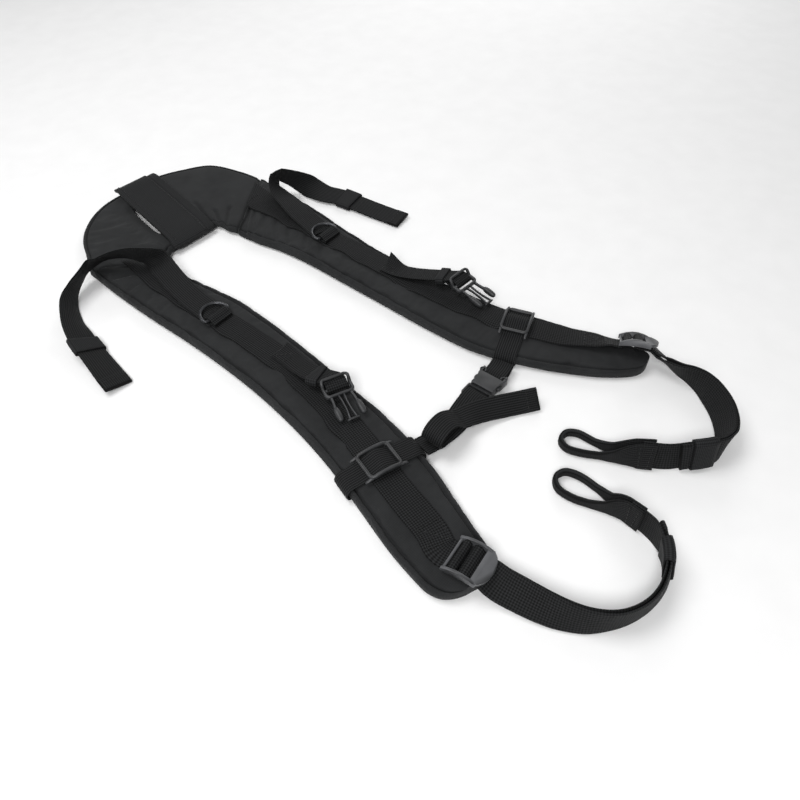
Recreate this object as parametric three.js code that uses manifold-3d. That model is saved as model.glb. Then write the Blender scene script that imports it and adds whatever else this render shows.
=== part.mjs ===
// Harness shoulder straps: a padded yoke, two padded arms, sewn webbing and moulded hardware.
// It lies on a flat surface with its outer side up. Millimetres, +Z up from that surface,
// +X towards the wearer's left arm and +Y towards the yoke.
import * as THREE from "three";
import { mergeVertices } from "three/addons/utils/BufferGeometryUtils.js";
import Module from "manifold-3d";

const wasm = await Module();
wasm.setup();

// Driving dimensions
const GAP = 0.35;
const WEBBING = { wide: 25, thick: 1.6 };
const NARROW = { wide: 20, thick: 1.5 };
const STRIP = { wide: 19, thick: 1.4 };
const FOLDED = { wide: 8.2, thick: 4 };
const PAD = { thick: 11.5, step: 21, endLength: 26 };
const YOKE = { thick: 9.5, steps: 12 };
const BAND = { wall: 1.8, lift: 3.4, steps: 32 };
const KEEPER = { wall: 1.3, long: 21, play: 1.1 };
const SLEEVE = { long: 9, play: 1.3 };
const HEM = 12;
const NOTCH = { half: 30, ramp: 8, deep: 2.5 };
const FLOOR_GAP = 0.1;
const RING = { wire: 3.2, inside: 24.6, depth: 16, tilt: 5, sides: 7, steps: 25 };
const TAB = { wide: 22, thick: 1.2, long: 8.5, play: 0.4 };
const DOUBLE = 2.5;
const WRAP = 0.3;

// Heights of the layers on top of a pad
const RAIL_MIDDLE = PAD.thick + GAP + WEBBING.thick / 2;
const RAIL_TOP = RAIL_MIDDLE + WEBBING.thick / 2;
const LIFTER_MIDDLE = RAIL_TOP + GAP + WEBBING.thick / 2;

// Half of a pad's section: how far in from its edge, and how high as a share of its thickness
const EDGE_PROFILE = [
  { inset: 4.5, rise: 0 },
  { inset: 0.8, rise: 0.16 },
  { inset: 0.0, rise: 0.45 },
  { inset: 1.0, rise: 0.78 },
  { inset: 5.5, rise: 0.95 },
  { inset: 17.0, rise: 1 },
];

// Shallow gathers across a pad below its seam: how far down, and the thickness there as a share
const GATHER_ROWS = [
  { down: 0, rise: 1 },
  { down: 10, rise: 0.93 },
  { down: 19, rise: 0.99 },
  { down: 30, rise: 0.9 },
  { down: 41, rise: 0.98 },
  { down: 54, rise: 0.92 },
  { down: 68, rise: 1 },
  { down: 84, rise: 0.96 },
  { down: 102, rise: 1 },
];

// Each arm from the yoke seam to its end, one row for each section: its outer and inner edge
const PAD_ROWS = {
  right: [
    { outX: -112, outY: 246, inX: -48, inY: 196 },
    { outX: -113, outY: 205, inX: -52, inY: 172 },
    { outX: -112, outY: 150, inX: -48, inY: 138 },
    { outX: -109, outY: 95, inX: -43, inY: 92 },
    { outX: -108, outY: 45, inX: -43.5, inY: 45 },
    { outX: -109.5, outY: -5, inX: -47, inY: -6 },
    { outX: -115, outY: -58, inX: -52.5, inY: -62 },
    { outX: -124, outY: -106, inX: -59.5, inY: -114 },
    { outX: -137, outY: -152, inX: -71, inY: -163 },
    { outX: -149, outY: -196, inX: -87, inY: -208 },
    { outX: -157, outY: -244, inX: -107, inY: -261 },
  ],
  left: [
    { outX: 116, outY: 246, inX: 31, inY: 187 },
    { outX: 117, outY: 205, inX: 34, inY: 160 },
    { outX: 113, outY: 150, inX: 41, inY: 130 },
    { outX: 108, outY: 95, inX: 45, inY: 92 },
    { outX: 104.5, outY: 45, inX: 46.5, inY: 45 },
    { outX: 105, outY: -5, inX: 48, inY: -6 },
    { outX: 110.5, outY: -58, inX: 49.5, inY: -62 },
    { outX: 118, outY: -106, inX: 54.5, inY: -114 },
    { outX: 131, outY: -152, inX: 70.5, inY: -159 },
    { outX: 143, outY: -196, inX: 93, inY: -201 },
    { outX: 153, outY: -236, inX: 119, inY: -244 },
  ],
};

// The yoke's halves from the arm's seam to the band
const YOKE_ROWS = {
  right: [
    { outX: -112, outY: 246.5, inX: -47.8, inY: 196.5 },
    { outX: -103, outY: 266, inX: -45, inY: 203 },
    { outX: -86, outY: 299, inX: -42.5, inY: 209 },
    { outX: -65, outY: 321, inX: -39, inY: 212 },
    { outX: -38, outY: 337, inX: -35, inY: 214 },
    { outX: -9, outY: 342, inX: -25, inY: 214 },
  ],
  left: [
    { outX: 116, outY: 246.5, inX: 31, inY: 187.5 },
    { outX: 111, outY: 277, inX: 27, inY: 199 },
    { outX: 97, outY: 314, inX: 27, inY: 208 },
    { outX: 68, outY: 332, inX: 25, inY: 214 },
    { outX: 40, outY: 342, inX: 20, inY: 219 },
    { outX: 12, outY: 342.6, inX: 2, inY: 219.6 },
    { outX: 0, outY: 342.6, inX: -12, inY: 219.6 },
  ],
};

// The band's path round the yoke: the length along Y, the height, and how far its two edges reach
const BAND_ROWS = [
  { y: 340, z: 11.6, left: -16.2, right: 37.6 },
  { y: 310, z: 12.4, left: -20.2, right: 33.4 },
  { y: 280, z: 12.4, left: -24.0, right: 29.2 },
  { y: 250, z: 12.4, left: -27.8, right: 24.9 },
  { y: 222, z: 11.6, left: -31.5, right: 20.9 },
  { y: 212.5, z: 7.2, left: -32.6, right: 20.2 },
  { y: 217, z: 2.1, left: -14, right: 20.6 },
  { y: 250, z: 1.7, left: -9, right: 24.9 },
  { y: 310, z: 1.7, left: -1, right: 33.4 },
  { y: 343, z: 2.1, left: 3, right: 38.2 },
  { y: 349.5, z: 7.2, left: -15.4, right: 39 },
];

// The rails' middle lines
const RAIL_ROWS = {
  right: [
    { x: -73, y: 218 },
    { x: -76.5, y: 170 },
    { x: -76, y: 110 },
    { x: -73, y: 50 },
    { x: -73.5, y: 0 },
    { x: -79, y: -50 },
    { x: -93, y: -110 },
    { x: -108, y: -162 },
    { x: -119, y: -205 },
  ],
  left: [
    { x: 76, y: 218 },
    { x: 79, y: 170 },
    { x: 83, y: 110 },
    { x: 84, y: 50 },
    { x: 85, y: 0 },
    { x: 88, y: -50 },
    { x: 97, y: -112 },
    { x: 113, y: -160, up: 0.2 },
    { x: 128, y: -192, up: 2.2, lean: 11 },
  ],
};

// Where each arm's hardware sits and which way it points, in degrees from +Y, turning left
const PLACES = {
  right: {
    ring: { x: -75, y: 87.8, heading: 4 },
    clip: { x: -71.5, y: -68.5, z: 19.6, heading: 158, nose: -7 },
    slider: { x: -99.7, y: -137, heading: -16 },
    lock: { x: -124.5, y: -229.5, up: 0, heading: 188, roll: 0 },
    lifterKeeper: { x: -174.5, y: 153 },
    strapKeeper: { x: -29.5, y: -343 },
    sleeve: { x: -70.2, y: -40.4 },
  },
  left: {
    ring: { x: 81.6, y: 102, heading: 3 },
    clip: { x: 105.5, y: -64.5, z: 21.2, heading: 178, nose: -9 },
    slider: { x: 100.4, y: -125.6, heading: 201 },
    lock: { x: 138, y: -211.5, up: 3, heading: 204, roll: -28 },
    lifterKeeper: { x: 156, y: 141 },
    strapKeeper: { x: 71, y: -320.6 },
    sleeve: { x: 101.4, y: -37 },
  },
};
const CHEST_BUCKLE = { x: 18.5, y: -147, z: 6.4, heading: -87 };

// Free straps, a row for each bend: the middle, where its raised edge points (turn) and how steeply (lean)
const LIFTER_ROWS = {
  right: [
    { x: -75, y: 92.8, z: LIFTER_MIDDLE, turn: 3, lean: 0 },
    { x: -74.5, y: 120, z: LIFTER_MIDDLE + 0.2, turn: -4, lean: 0 },
    { x: -71, y: 152, z: LIFTER_MIDDLE + 0.5, turn: -14, lean: 1 },
    { x: -65.8, y: 180, z: 16.4, turn: -10, lean: 5 },
    { x: -64, y: 191.6, z: 18.8, turn: 0, lean: 12 },
    { x: -69.5, y: 197.3, z: 25.8, turn: -57, lean: 49 },
    { x: -78.5, y: 203.7, z: 29.7, turn: -108, lean: 65 },
    { x: -86.8, y: 214.6, z: 29.4, turn: -151, lean: 55 },
    { x: -94.9, y: 224.9, z: 26.5, turn: -151, lean: 44 },
    { x: -103.8, y: 233.4, z: 22.9, turn: -132, lean: 42 },
    { x: -115.5, y: 236.5, z: 20.4, turn: -99, lean: 60 },
    { x: -127, y: 232.5, z: 16.6, turn: -113, lean: 58 },
    { x: -141.5, y: 223.5, z: 13.4, turn: -135, lean: 51 },
    { x: -153.5, y: 211, z: 11, turn: -148, lean: 45 },
    { x: -163.5, y: 192.5, z: 10.4, turn: -152, lean: 38 },
    { x: -170.3, y: 171, z: 9.6, turn: -160, lean: 24 },
    { x: -174, y: 154, z: 8.8, turn: -164, lean: 20 },
    { x: -176.4, y: 136, z: 7.4, turn: -166, lean: 17 },
    { x: -179.5, y: 112, z: 4.4, turn: -169, lean: 9 },
    { x: -182, y: 93, z: 3.6, turn: -171, lean: 8 },
  ],
  left: [
    { x: 81.8, y: 108.8, z: LIFTER_MIDDLE, turn: 182, lean: 0 },
    { x: 85.5, y: 126, z: LIFTER_MIDDLE + 0.3, turn: 174, lean: 0 },
    { x: 87.6, y: 147.7, z: 18.6, turn: 170, lean: 0 },
    { x: 92.3, y: 168.8, z: 19.8, turn: 166, lean: 9 },
    { x: 97.3, y: 187, z: 19.5, turn: 163, lean: 19 },
    { x: 102.7, y: 200.9, z: 21.2, turn: 166, lean: 39 },
    { x: 107, y: 208.8, z: 24.4, turn: 194, lean: 61 },
    { x: 114.1, y: 209.1, z: 27.9, turn: 252, lean: 58 },
    { x: 121.5, y: 204.6, z: 24.5, turn: 280, lean: 53 },
    { x: 129.8, y: 199.6, z: 18.8, turn: 299, lean: 55 },
    { x: 136.6, y: 193.2, z: 12.6, turn: 334, lean: 56 },
    { x: 141.1, y: 183.7, z: 8.2, turn: 10, lean: 29 },
    { x: 144.7, y: 169.5, z: 6, turn: 19, lean: 12 },
    { x: 152.6, y: 152, z: 4.9, turn: 19, lean: 8 },
    { x: 156.5, y: 132, z: 4.2, turn: 14, lean: 5 },
    { x: 161.5, y: 100, z: 3.4, turn: 11, lean: 5 },
    { x: 166.4, y: 71, z: 3.2, turn: 11, lean: 5 },
  ],
};

const STRAP_ROWS = {
  right: [
    { x: -120, y: -266, z: 12.6, turn: 3, lean: 28 },
    { x: -117.5, y: -280, z: 11.8, turn: 3, lean: 42 },
    { x: -114.5, y: -295, z: 11.6, turn: 6, lean: 54 },
    { x: -110.5, y: -310, z: 12.2, turn: 14, lean: 67 },
    { x: -103.3, y: -325, z: 12.7, turn: 60, lean: 78 },
    { x: -92, y: -337.3, z: 12.7, turn: 140, lean: 74 },
    { x: -79.5, y: -345, z: 12.2, turn: 160, lean: 67 },
    { x: -65.8, y: -349.3, z: 11.8, turn: 170, lean: 61 },
    { x: -51.2, y: -350.2, z: 12.8, turn: 174, lean: 60 },
    { x: -38.7, y: -347.6, z: 15.2, turn: 166, lean: 70 },
    { x: -28.3, y: -342.5, z: 15.4, turn: 150, lean: 76 },
    { x: -21.3, y: -336, z: 15.2, turn: 135, lean: 81 },
    { x: -14.8, y: -324.8, z: 13.6, turn: 100, lean: 88 },
    { x: -12.2, y: -315.3, z: 13.1, turn: 95, lean: 90 },
    { x: -11.4, y: -303, z: 13.1, turn: 80, lean: 90 },
  ],
  left: [
    { x: 149, y: -244, z: 13.4, turn: 204, lean: 32, apart: 3.2 },
    { x: 148, y: -254, z: 12.4, turn: 200, lean: 46, apart: 3.4 },
    { x: 146, y: -265, z: 12.6, turn: 196, lean: 60, apart: 3 },
    { x: 146, y: -276, z: 13, turn: 210, lean: 74 },
    { x: 144.4, y: -286, z: 12.9, turn: 260, lean: 84 },
    { x: 139.1, y: -297, z: 12.8, turn: 299, lean: 73 },
    { x: 132, y: -307.3, z: 12.4, turn: 290, lean: 67 },
    { x: 123.3, y: -316, z: 12.2, turn: 280, lean: 64 },
    { x: 112, y: -323.5, z: 12.2, turn: 262, lean: 63 },
    { x: 101.1, y: -328, z: 12.6, turn: 236, lean: 65 },
    { x: 89, y: -329.6, z: 13.6, turn: 173, lean: 78 },
    { x: 79.9, y: -326.6, z: 14.9, turn: 105, lean: 77 },
    { x: 72.1, y: -321.2, z: 15, turn: 94, lean: 74 },
    { x: 64, y: -314.2, z: 14.9, turn: 88, lean: 73 },
    { x: 53.2, y: -301.5, z: 12.6, turn: 79, lean: 71 },
    { x: 41.5, y: -283.7, z: 12.6, turn: 76, lean: 71 },
  ],
};
// The strap's doubled rows, and where its tail's tip stands off past the keeper
const TAILS = {
  right: { rows: 12, tip: { x: -12.4, y: -328, z: 14.4, turn: 115, lean: 84 } },
  left: { rows: 14, tip: { x: 57.4, y: -309.4, z: 14.2, turn: 84, lean: 72 } },
};

// End loops: webbing folded lengthwise, opening flat where both ends are sewn to the strap
const LOOP_ROWS = {
  right: [
    { x: -14.3, y: -314, z: 12.9, wide: 25, thick: 1.7, lean: 90 },
    { x: -13.7, y: -301.5, z: 12.7, wide: 24.6, thick: 1.7, lean: 90 },
    { x: -15.4, y: -288, z: 7, wide: 13, thick: 3, lean: 90 },
    { x: -19.3, y: -275.5, z: 4.4, wide: 8.2, thick: 4, lean: 90 },
    { x: -23.3, y: -262, z: 4.4, wide: 8.2, thick: 4, lean: 90 },
    { x: -22.4, y: -250.4, z: 4.4, wide: 8.2, thick: 4, lean: 90 },
    { x: -15, y: -244.2, z: 4.4, wide: 8.2, thick: 4, lean: 90 },
    { x: -6.4, y: -246.6, z: 4.4, wide: 8.2, thick: 4, lean: 90 },
    { x: -2.2, y: -257, z: 4.4, wide: 8.2, thick: 4, lean: 90 },
    { x: -2.8, y: -274, z: 4.4, wide: 8.2, thick: 4, lean: 90 },
    { x: -6, y: -288, z: 7, wide: 13, thick: 3, lean: 90 },
    { x: -9.1, y: -301.5, z: 12.7, wide: 24.6, thick: 1.7, lean: 90 },
    { x: -9.9, y: -314, z: 12.9, wide: 25, thick: 1.7, lean: 90 },
  ],
  left: [
    { x: 45, y: -294.2, z: 13.1, wide: 25, thick: 1.7, lean: 71 },
    { x: 37.2, y: -283.1, z: 12.8, wide: 24.6, thick: 1.7, lean: 73 },
    { x: 30.2, y: -269, z: 7, wide: 13, thick: 3, lean: 82 },
    { x: 25.5, y: -259, z: 4.4, wide: 8.2, thick: 4, lean: 90 },
    { x: 18, y: -246, z: 4.4, wide: 8.2, thick: 4, lean: 90 },
    { x: 14.6, y: -234.8, z: 4.4, wide: 8.2, thick: 4, lean: 90 },
    { x: 18.5, y: -227.4, z: 4.4, wide: 8.2, thick: 4, lean: 90 },
    { x: 27.3, y: -226.6, z: 4.4, wide: 8.2, thick: 4, lean: 90 },
    { x: 33.2, y: -233.4, z: 4.4, wide: 8.2, thick: 4, lean: 90 },
    { x: 35, y: -250, z: 4.4, wide: 8.2, thick: 4, lean: 90 },
    { x: 36.8, y: -264, z: 7, wide: 13, thick: 3, lean: 82 },
    { x: 42, y: -279.7, z: 12.5, wide: 24.6, thick: 1.7, lean: 73 },
    { x: 49.7, y: -290.9, z: 12.5, wide: 25, thick: 1.7, lean: 71 },
  ],
};

// The right half of the chest strap: out to the plug's bar, back, up in a slack hump and off as the tail
const CHEST_OUT_ROWS = [
  { x: -61.8, y: -149.6, z: 8.4, turn: 94 },
  { x: -45, y: -152.4, z: 6.2, turn: 92 },
  { x: -25, y: -152.6, z: 4.2, turn: 88 },
  { x: -6, y: -149.4, z: 3, turn: 88 },
];
const CHEST_BACK_ROWS = [
  { x: -6, y: -149.4, z: 9.6, turn: 88, lean: 0 },
  { x: -25, y: -152.6, z: 9, turn: 88, lean: 0 },
  { x: -42, y: -153.6, z: 9.6, turn: 90, lean: 0 },
  { x: -53.5, y: -154.6, z: 11.8, turn: 90, lean: 0 },
  { x: -59, y: -155.4, z: 16.5, turn: 90, lean: 0 },
  { x: -57.5, y: -155.6, z: 22, turn: 90, lean: 0 },
  { x: -50, y: -155.4, z: 25.8, turn: 89, lean: 2 },
  { x: -40, y: -155.4, z: 25.4, turn: 84, lean: 3 },
  { x: -30.5, y: -156, z: 19.5, turn: 76, lean: 4 },
  { x: -23, y: -156.4, z: 13, turn: 70, lean: 6 },
  { x: -14, y: -159.2, z: 12, turn: 66, lean: 16 },
  { x: -2, y: -164, z: 10.6, turn: 58, lean: 28 },
  { x: 12, y: -171.5, z: 9, turn: 52, lean: 35 },
  { x: 27, y: -180.6, z: 8, turn: 46, lean: 39 },
  { x: 40.8, y: -189.6, z: 7.7, turn: 42, lean: 40 },
];

// The short strips on the rails, from their sewn starts to their sleeves
const STRIP_ROWS = {
  right: [
    { x: -67, y: 12, z: 14.55 },
    { x: -68, y: -4, z: 15.1 },
    { x: -70, y: -18, z: 17.2 },
    { x: -71, y: -30, z: 19.8 },
    { x: -70.6, y: -40, z: 21.9 },
    { x: -68.7, y: -46, z: 22.9, turn: -15 },
  ],
  left: [
    { x: 84.5, y: 22, z: 14.55 },
    { x: 85.5, y: 8, z: 15.1 },
    { x: 89.5, y: -6, z: 16.4 },
    { x: 94.6, y: -20, z: 18.8 },
    { x: 100.2, y: -34, z: 21.8 },
    { x: 103.4, y: -44, z: 24.4 },
  ],
};

// Finishes
const FINISH = {
  cover: { color: 0x2a2b2d, roughness: 0.85, metalness: 0 },
  webbing: { color: 0x1c1d1f, roughness: 0.8, metalness: 0 },
  elastic: { color: 0x2b2b2d, roughness: 0.9, metalness: 0 },
  plastic: { color: 0x303134, roughness: 0.5, metalness: 0 },
  wire: { color: 0x3c3d40, roughness: 0.35, metalness: 0.8 },
};

const SIDES = ["right", "left"];
const harness = new THREE.Group();

function mesh(name, geometry, finish) {
  const made = new THREE.Mesh(geometry, new THREE.MeshStandardMaterial(FINISH[finish]));
  made.name = name;
  return made;
}

// Meshes from rings of points

function signedVolume(points, faces) {
  const product = new THREE.Vector3();
  let sum = 0;
  for (const [a, b, c] of faces) {
    sum += points[a].dot(product.crossVectors(points[b], points[c])) / 6;
  }
  return sum;
}

// Joins rings of equally many points into one closed skin whose faces point outwards.
function loft(rings, closed = false) {
  const count = rings[0].length;
  const points = rings.flat();
  const faces = [];
  const spans = closed ? rings.length : rings.length - 1;
  for (let i = 0; i < spans; i += 1) {
    const here = i * count;
    const next = ((i + 1) % rings.length) * count;
    for (let j = 0; j < count; j += 1) {
      const k = (j + 1) % count;
      faces.push([here + j, next + j, next + k], [here + j, next + k, here + k]);
    }
  }
  if (!closed) {
    for (const [start, flip] of [[0, false], [(rings.length - 1) * count, true]]) {
      const middle = new THREE.Vector3();
      for (let j = 0; j < count; j += 1) middle.addScaledVector(points[start + j], 1 / count);
      points.push(middle);
      for (let j = 0; j < count; j += 1) {
        const k = (j + 1) % count;
        const ends = flip ? [start + k, start + j] : [start + j, start + k];
        faces.push([points.length - 1, ...ends]);
      }
    }
  }
  const outward = signedVolume(points, faces) > 0;
  const order = faces.flatMap(([a, b, c]) => (outward ? [a, b, c] : [a, c, b]));
  const geometry = new THREE.BufferGeometry().setFromPoints(points);
  geometry.setIndex(order);
  return geometry;
}

// Closed meshes joined or cut as solids

function solid(geometry) {
  const bare = geometry.clone();
  bare.deleteAttribute("normal");
  bare.deleteAttribute("uv");
  const merged = mergeVertices(bare, 1e-4);
  const vertProperties = new Float32Array(merged.attributes.position.array);
  const triVerts = new Uint32Array(merged.index.array);
  return new wasm.Manifold(new wasm.Mesh({ numProp: 3, vertProperties, triVerts }));
}

function geometryOf(body) {
  const made = body.getMesh();
  const geometry = new THREE.BufferGeometry();
  geometry.setAttribute("position", new THREE.BufferAttribute(new Float32Array(made.vertProperties), 3));
  geometry.setIndex(new THREE.BufferAttribute(new Uint32Array(made.triVerts), 1));
  return geometry;
}

function joined(geometries) {
  return geometryOf(geometries.map(solid).reduce((whole, piece) => whole.add(piece)));
}

// Webbing: frames along a path, each with a middle, an edge direction and a face direction

function edgeOf(row) {
  const turn = THREE.MathUtils.degToRad(row.turn);
  const lean = THREE.MathUtils.degToRad(row.lean ?? 0);
  const flat = Math.cos(lean);
  return new THREE.Vector3(Math.cos(turn) * flat, Math.sin(turn) * flat, Math.sin(lean));
}

function rowValue(rows, key, t, otherwise) {
  const place = t * (rows.length - 1);
  const i = Math.min(Math.floor(place), rows.length - 2);
  const from = rows[i][key] ?? otherwise;
  const to = rows[i + 1][key] ?? otherwise;
  return THREE.MathUtils.lerp(from, to, place - i);
}

function framesAlong(rows, size, steps, closed = false) {
  const middles = rows.map((row) => new THREE.Vector3(row.x, row.y, row.z));
  const path = new THREE.CatmullRomCurve3(middles, closed, "centripetal");
  const edges = new THREE.CatmullRomCurve3(rows.map(edgeOf), closed, "catmullrom");
  const frames = [];
  const last = closed ? steps - 1 : steps;
  for (let i = 0; i <= last; i += 1) {
    const t = i / steps;
    const at = path.getPoint(t);
    const along = path.getTangent(t);
    const edge = edges.getPoint(t);
    edge.addScaledVector(along, -edge.dot(along)).normalize();
    const face = new THREE.Vector3().crossVectors(edge, along);
    const wide = closed ? size.wide : rowValue(rows, "wide", t, size.wide);
    const thick = closed ? size.thick : rowValue(rows, "thick", t, size.thick);
    frames.push({ at, along, edge, face, wide, thick });
  }
  return frames;
}

function corners({ at, edge, face, wide, thick }) {
  return [[1, 1], [-1, 1], [-1, -1], [1, -1]].map(([e, f]) =>
    at.clone().addScaledVector(edge, (e * wide) / 2).addScaledVector(face, (f * thick) / 2),
  );
}

const ribbon = (frames, closed = false) => loft(frames.map(corners), closed);

// The strap's last stretch folded double and sewn
function hemmed(frames, length = HEM) {
  let first = frames.length - 1;
  for (let run = 0; run < length; first -= 1) run += frames[first].at.distanceTo(frames[first - 1].at);
  const step = { ...frames[first], at: frames[first].at.clone() };
  step.at.addScaledVector(step.along, -0.2);
  const doubled = frames.slice(first).map((frame) => ({ ...frame, thick: 2 * frame.thick }));
  return [...frames.slice(0, first), step, ...doubled];
}

// Lifts the frames whose lower edge would dip below the surface that the strap lies on
function resting(frames) {
  return frames.map((frame) => {
    const low = Math.min(...corners(frame).map((corner) => corner.z));
    const at = frame.at.clone();
    at.z += Math.max(0, FLOOR_GAP - low);
    return { ...frame, at };
  });
}

// A sleeve of the given wall round the frames of what it holds
function sleeve(frames, wide, thick, wall) {
  const ring = (frame, grow) => corners({ ...frame, wide: wide + grow, thick: thick + grow });
  const outside = frames.map((frame) => ring(frame, 2 * wall));
  const inside = frames.map((frame) => ring(frame, 0)).reverse();
  return loft([...outside, ...inside], true);
}

// Frames of a strap within half a length of the frame nearest a place
function framesNear(frames, place, length) {
  const off = (frame) => Math.hypot(frame.at.x - place.x, frame.at.y - place.y);
  const middle = frames.reduce((best, frame) => (off(frame) < off(best) ? frame : best));
  return frames.filter((frame) => frame.at.distanceTo(middle.at) <= length / 2);
}

// Moves rows off their strap's face by the distance that each row asks for
function offsetRows(rows, distance) {
  return rows.map((row, i) => {
    const before = rows[Math.max(i - 1, 0)];
    const after = rows[Math.min(i + 1, rows.length - 1)];
    const along = new THREE.Vector3(after.x - before.x, after.y - before.y, after.z - before.z).normalize();
    const face = new THREE.Vector3().crossVectors(edgeOf(row), along).normalize();
    const off = distance(row, i);
    return { ...row, x: row.x + face.x * off, y: row.y + face.y * off, z: row.z + face.z * off };
  });
}

function offsetFrames(frames, distance) {
  return frames.map((frame) => ({ ...frame, at: frame.at.clone().addScaledVector(frame.face, distance) }));
}

// Padded panels

function edgeCurve(rows, which) {
  return new THREE.SplineCurve(rows.map((row) => new THREE.Vector2(row[which + "X"], row[which + "Y"])));
}

// How far the pad's underside is pressed up where the webbing loop passes below it
function notchHeight(point, slider) {
  const angle = THREE.MathUtils.degToRad(slider.heading);
  const off = Math.abs((point.x - slider.x) * Math.sin(angle) - (point.y - slider.y) * Math.cos(angle));
  return NOTCH.deep * THREE.MathUtils.clamp((NOTCH.half + NOTCH.ramp - off) / NOTCH.ramp, 0, 1);
}

function paddedRing(outer, inner, thick, floorAt) {
  const wide = outer.distanceTo(inner);
  const inwards = inner.clone().sub(outer).divideScalar(wide);
  const shrink = Math.min(1, wide / 50);
  const place = (from, sign, row) => {
    const flat = from.clone().addScaledVector(inwards, sign * row.inset * shrink);
    return new THREE.Vector3(flat.x, flat.y, Math.max(row.rise * thick, floorAt(flat)));
  };
  const outside = EDGE_PROFILE.map((row) => place(outer, 1, row));
  const inside = EDGE_PROFILE.map((row) => place(inner, -1, row));
  return [...outside, ...inside.reverse()];
}

function padGeometry(side) {
  const outerEdge = edgeCurve(PAD_ROWS[side], "out");
  const innerEdge = edgeCurve(PAD_ROWS[side], "in");
  const long = outerEdge.getLength();
  const roundFrom = 1 - PAD.endLength / long;
  const floorAt = (point) => notchHeight(point, PLACES[side].slider);
  const stations = GATHER_ROWS.map((row) => ({ share: row.down / long, thick: PAD.thick * row.rise }));
  const gathered = stations[stations.length - 1].share;
  const plain = Math.round(((roundFrom - gathered) * long) / PAD.step);
  for (let i = 1; i < plain; i += 1) {
    stations.push({ share: gathered + ((roundFrom - gathered) * i) / plain, thick: PAD.thick });
  }
  for (const v of [0, 0.25, 0.5, 0.7, 0.85, 0.95, 0.99]) {
    stations.push({ share: roundFrom + (1 - roundFrom) * v, thick: PAD.thick });
  }
  const rings = stations.map(({ share, thick }) => {
    const outer = outerEdge.getPoint(share);
    const inner = innerEdge.getPoint(share);
    const v = Math.max(0, (share - roundFrom) / (1 - roundFrom));
    const narrow = (1 - Math.pow(1 - Math.pow(v, 2.4), 1 / 2.4)) / 2;
    const from = outer.clone().lerp(inner, narrow);
    return paddedRing(from, inner.lerp(outer, narrow), thick, floorAt);
  });
  return loft(rings);
}

function yokeGeometry(side) {
  const outerEdge = edgeCurve(YOKE_ROWS[side], "out");
  const innerEdge = edgeCurve(YOKE_ROWS[side], "in");
  const underBand = (point) => (point.x > -38 && point.x < 44 ? BAND.lift : 0);
  const rings = [];
  for (let i = 0; i <= YOKE.steps; i += 1) {
    const share = i / YOKE.steps;
    rings.push(paddedRing(outerEdge.getPoint(share), innerEdge.getPoint(share), YOKE.thick, underBand));
  }
  return loft(rings);
}

// The open slit beside the band: the right half reaches under the band only at the slit's two ends
const SLIT = { x: -14.4, y: 275.5, half: 40, deep: 13, heading: -7.2 };

function slitGeometry() {
  const outline = new THREE.Shape();
  outline.absellipse(0, 0, SLIT.deep, SLIT.half, 0, 2 * Math.PI);
  return new THREE.ExtrudeGeometry(outline, { depth: 3 * YOKE.thick, bevelEnabled: false, curveSegments: 14 })
    .rotateZ(THREE.MathUtils.degToRad(SLIT.heading))
    .translate(SLIT.x, SLIT.y, -YOKE.thick);
}

function bandGeometry() {
  const round = (key) => new THREE.CatmullRomCurve3(
    BAND_ROWS.map((row) => new THREE.Vector3(row[key], row.y, row.z)), true, "centripetal",
  );
  const leftEdge = round("left");
  const rightEdge = round("right");
  const rings = [];
  for (let i = 0; i < BAND.steps; i += 1) {
    const t = i / BAND.steps;
    const left = leftEdge.getPoint(t);
    const right = rightEdge.getPoint(t);
    const along = rightEdge.getTangent(t);
    const off = new THREE.Vector3(1, 0, 0).cross(along).normalize().multiplyScalar(BAND.wall / 2);
    const over = [left.clone().add(off), right.clone().add(off)];
    rings.push([...over, right.clone().sub(off), left.clone().sub(off)]);
  }
  return loft(rings, true);
}

// Moulded hardware: bars and plates joined into one body

function barX(radius, length, y, z) {
  return new THREE.CylinderGeometry(radius, radius, length, 10).rotateZ(Math.PI / 2).translate(0, y, z);
}

// An outline in Y and Z, as thick as given along X
function sidePlate(outline, thick, x) {
  const turn = new THREE.Matrix4().makeBasis(
    new THREE.Vector3(0, 1, 0), new THREE.Vector3(0, 0, 1), new THREE.Vector3(1, 0, 0),
  );
  return new THREE.ExtrudeGeometry(outline, { depth: thick, bevelEnabled: false, curveSegments: 5 })
    .applyMatrix4(turn)
    .translate(x - thick / 2, 0, 0);
}

function flatPlate(outline, thick, z, curveSegments = 4) {
  return new THREE.ExtrudeGeometry(outline, { depth: thick, bevelEnabled: false, curveSegments })
    .translate(0, 0, z);
}

function roundedRect(x0, y0, x1, y1, r) {
  const shape = new THREE.Shape();
  shape.moveTo(x0 + r, y0);
  shape.lineTo(x1 - r, y0);
  shape.absarc(x1 - r, y0 + r, r, -Math.PI / 2, 0);
  shape.lineTo(x1, y1 - r);
  shape.absarc(x1 - r, y1 - r, r, 0, Math.PI / 2);
  shape.lineTo(x0 + r, y1);
  shape.absarc(x0 + r, y1 - r, r, Math.PI / 2, Math.PI);
  shape.lineTo(x0, y0 + r);
  shape.absarc(x0 + r, y0 + r, r, Math.PI, 1.5 * Math.PI);
  return shape;
}

function rect(x0, y0, x1, y1) {
  const shape = new THREE.Shape();
  shape.moveTo(x0, y0);
  shape.lineTo(x1, y0);
  shape.lineTo(x1, y1);
  shape.lineTo(x0, y1);
  shape.closePath();
  return shape;
}

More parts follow.
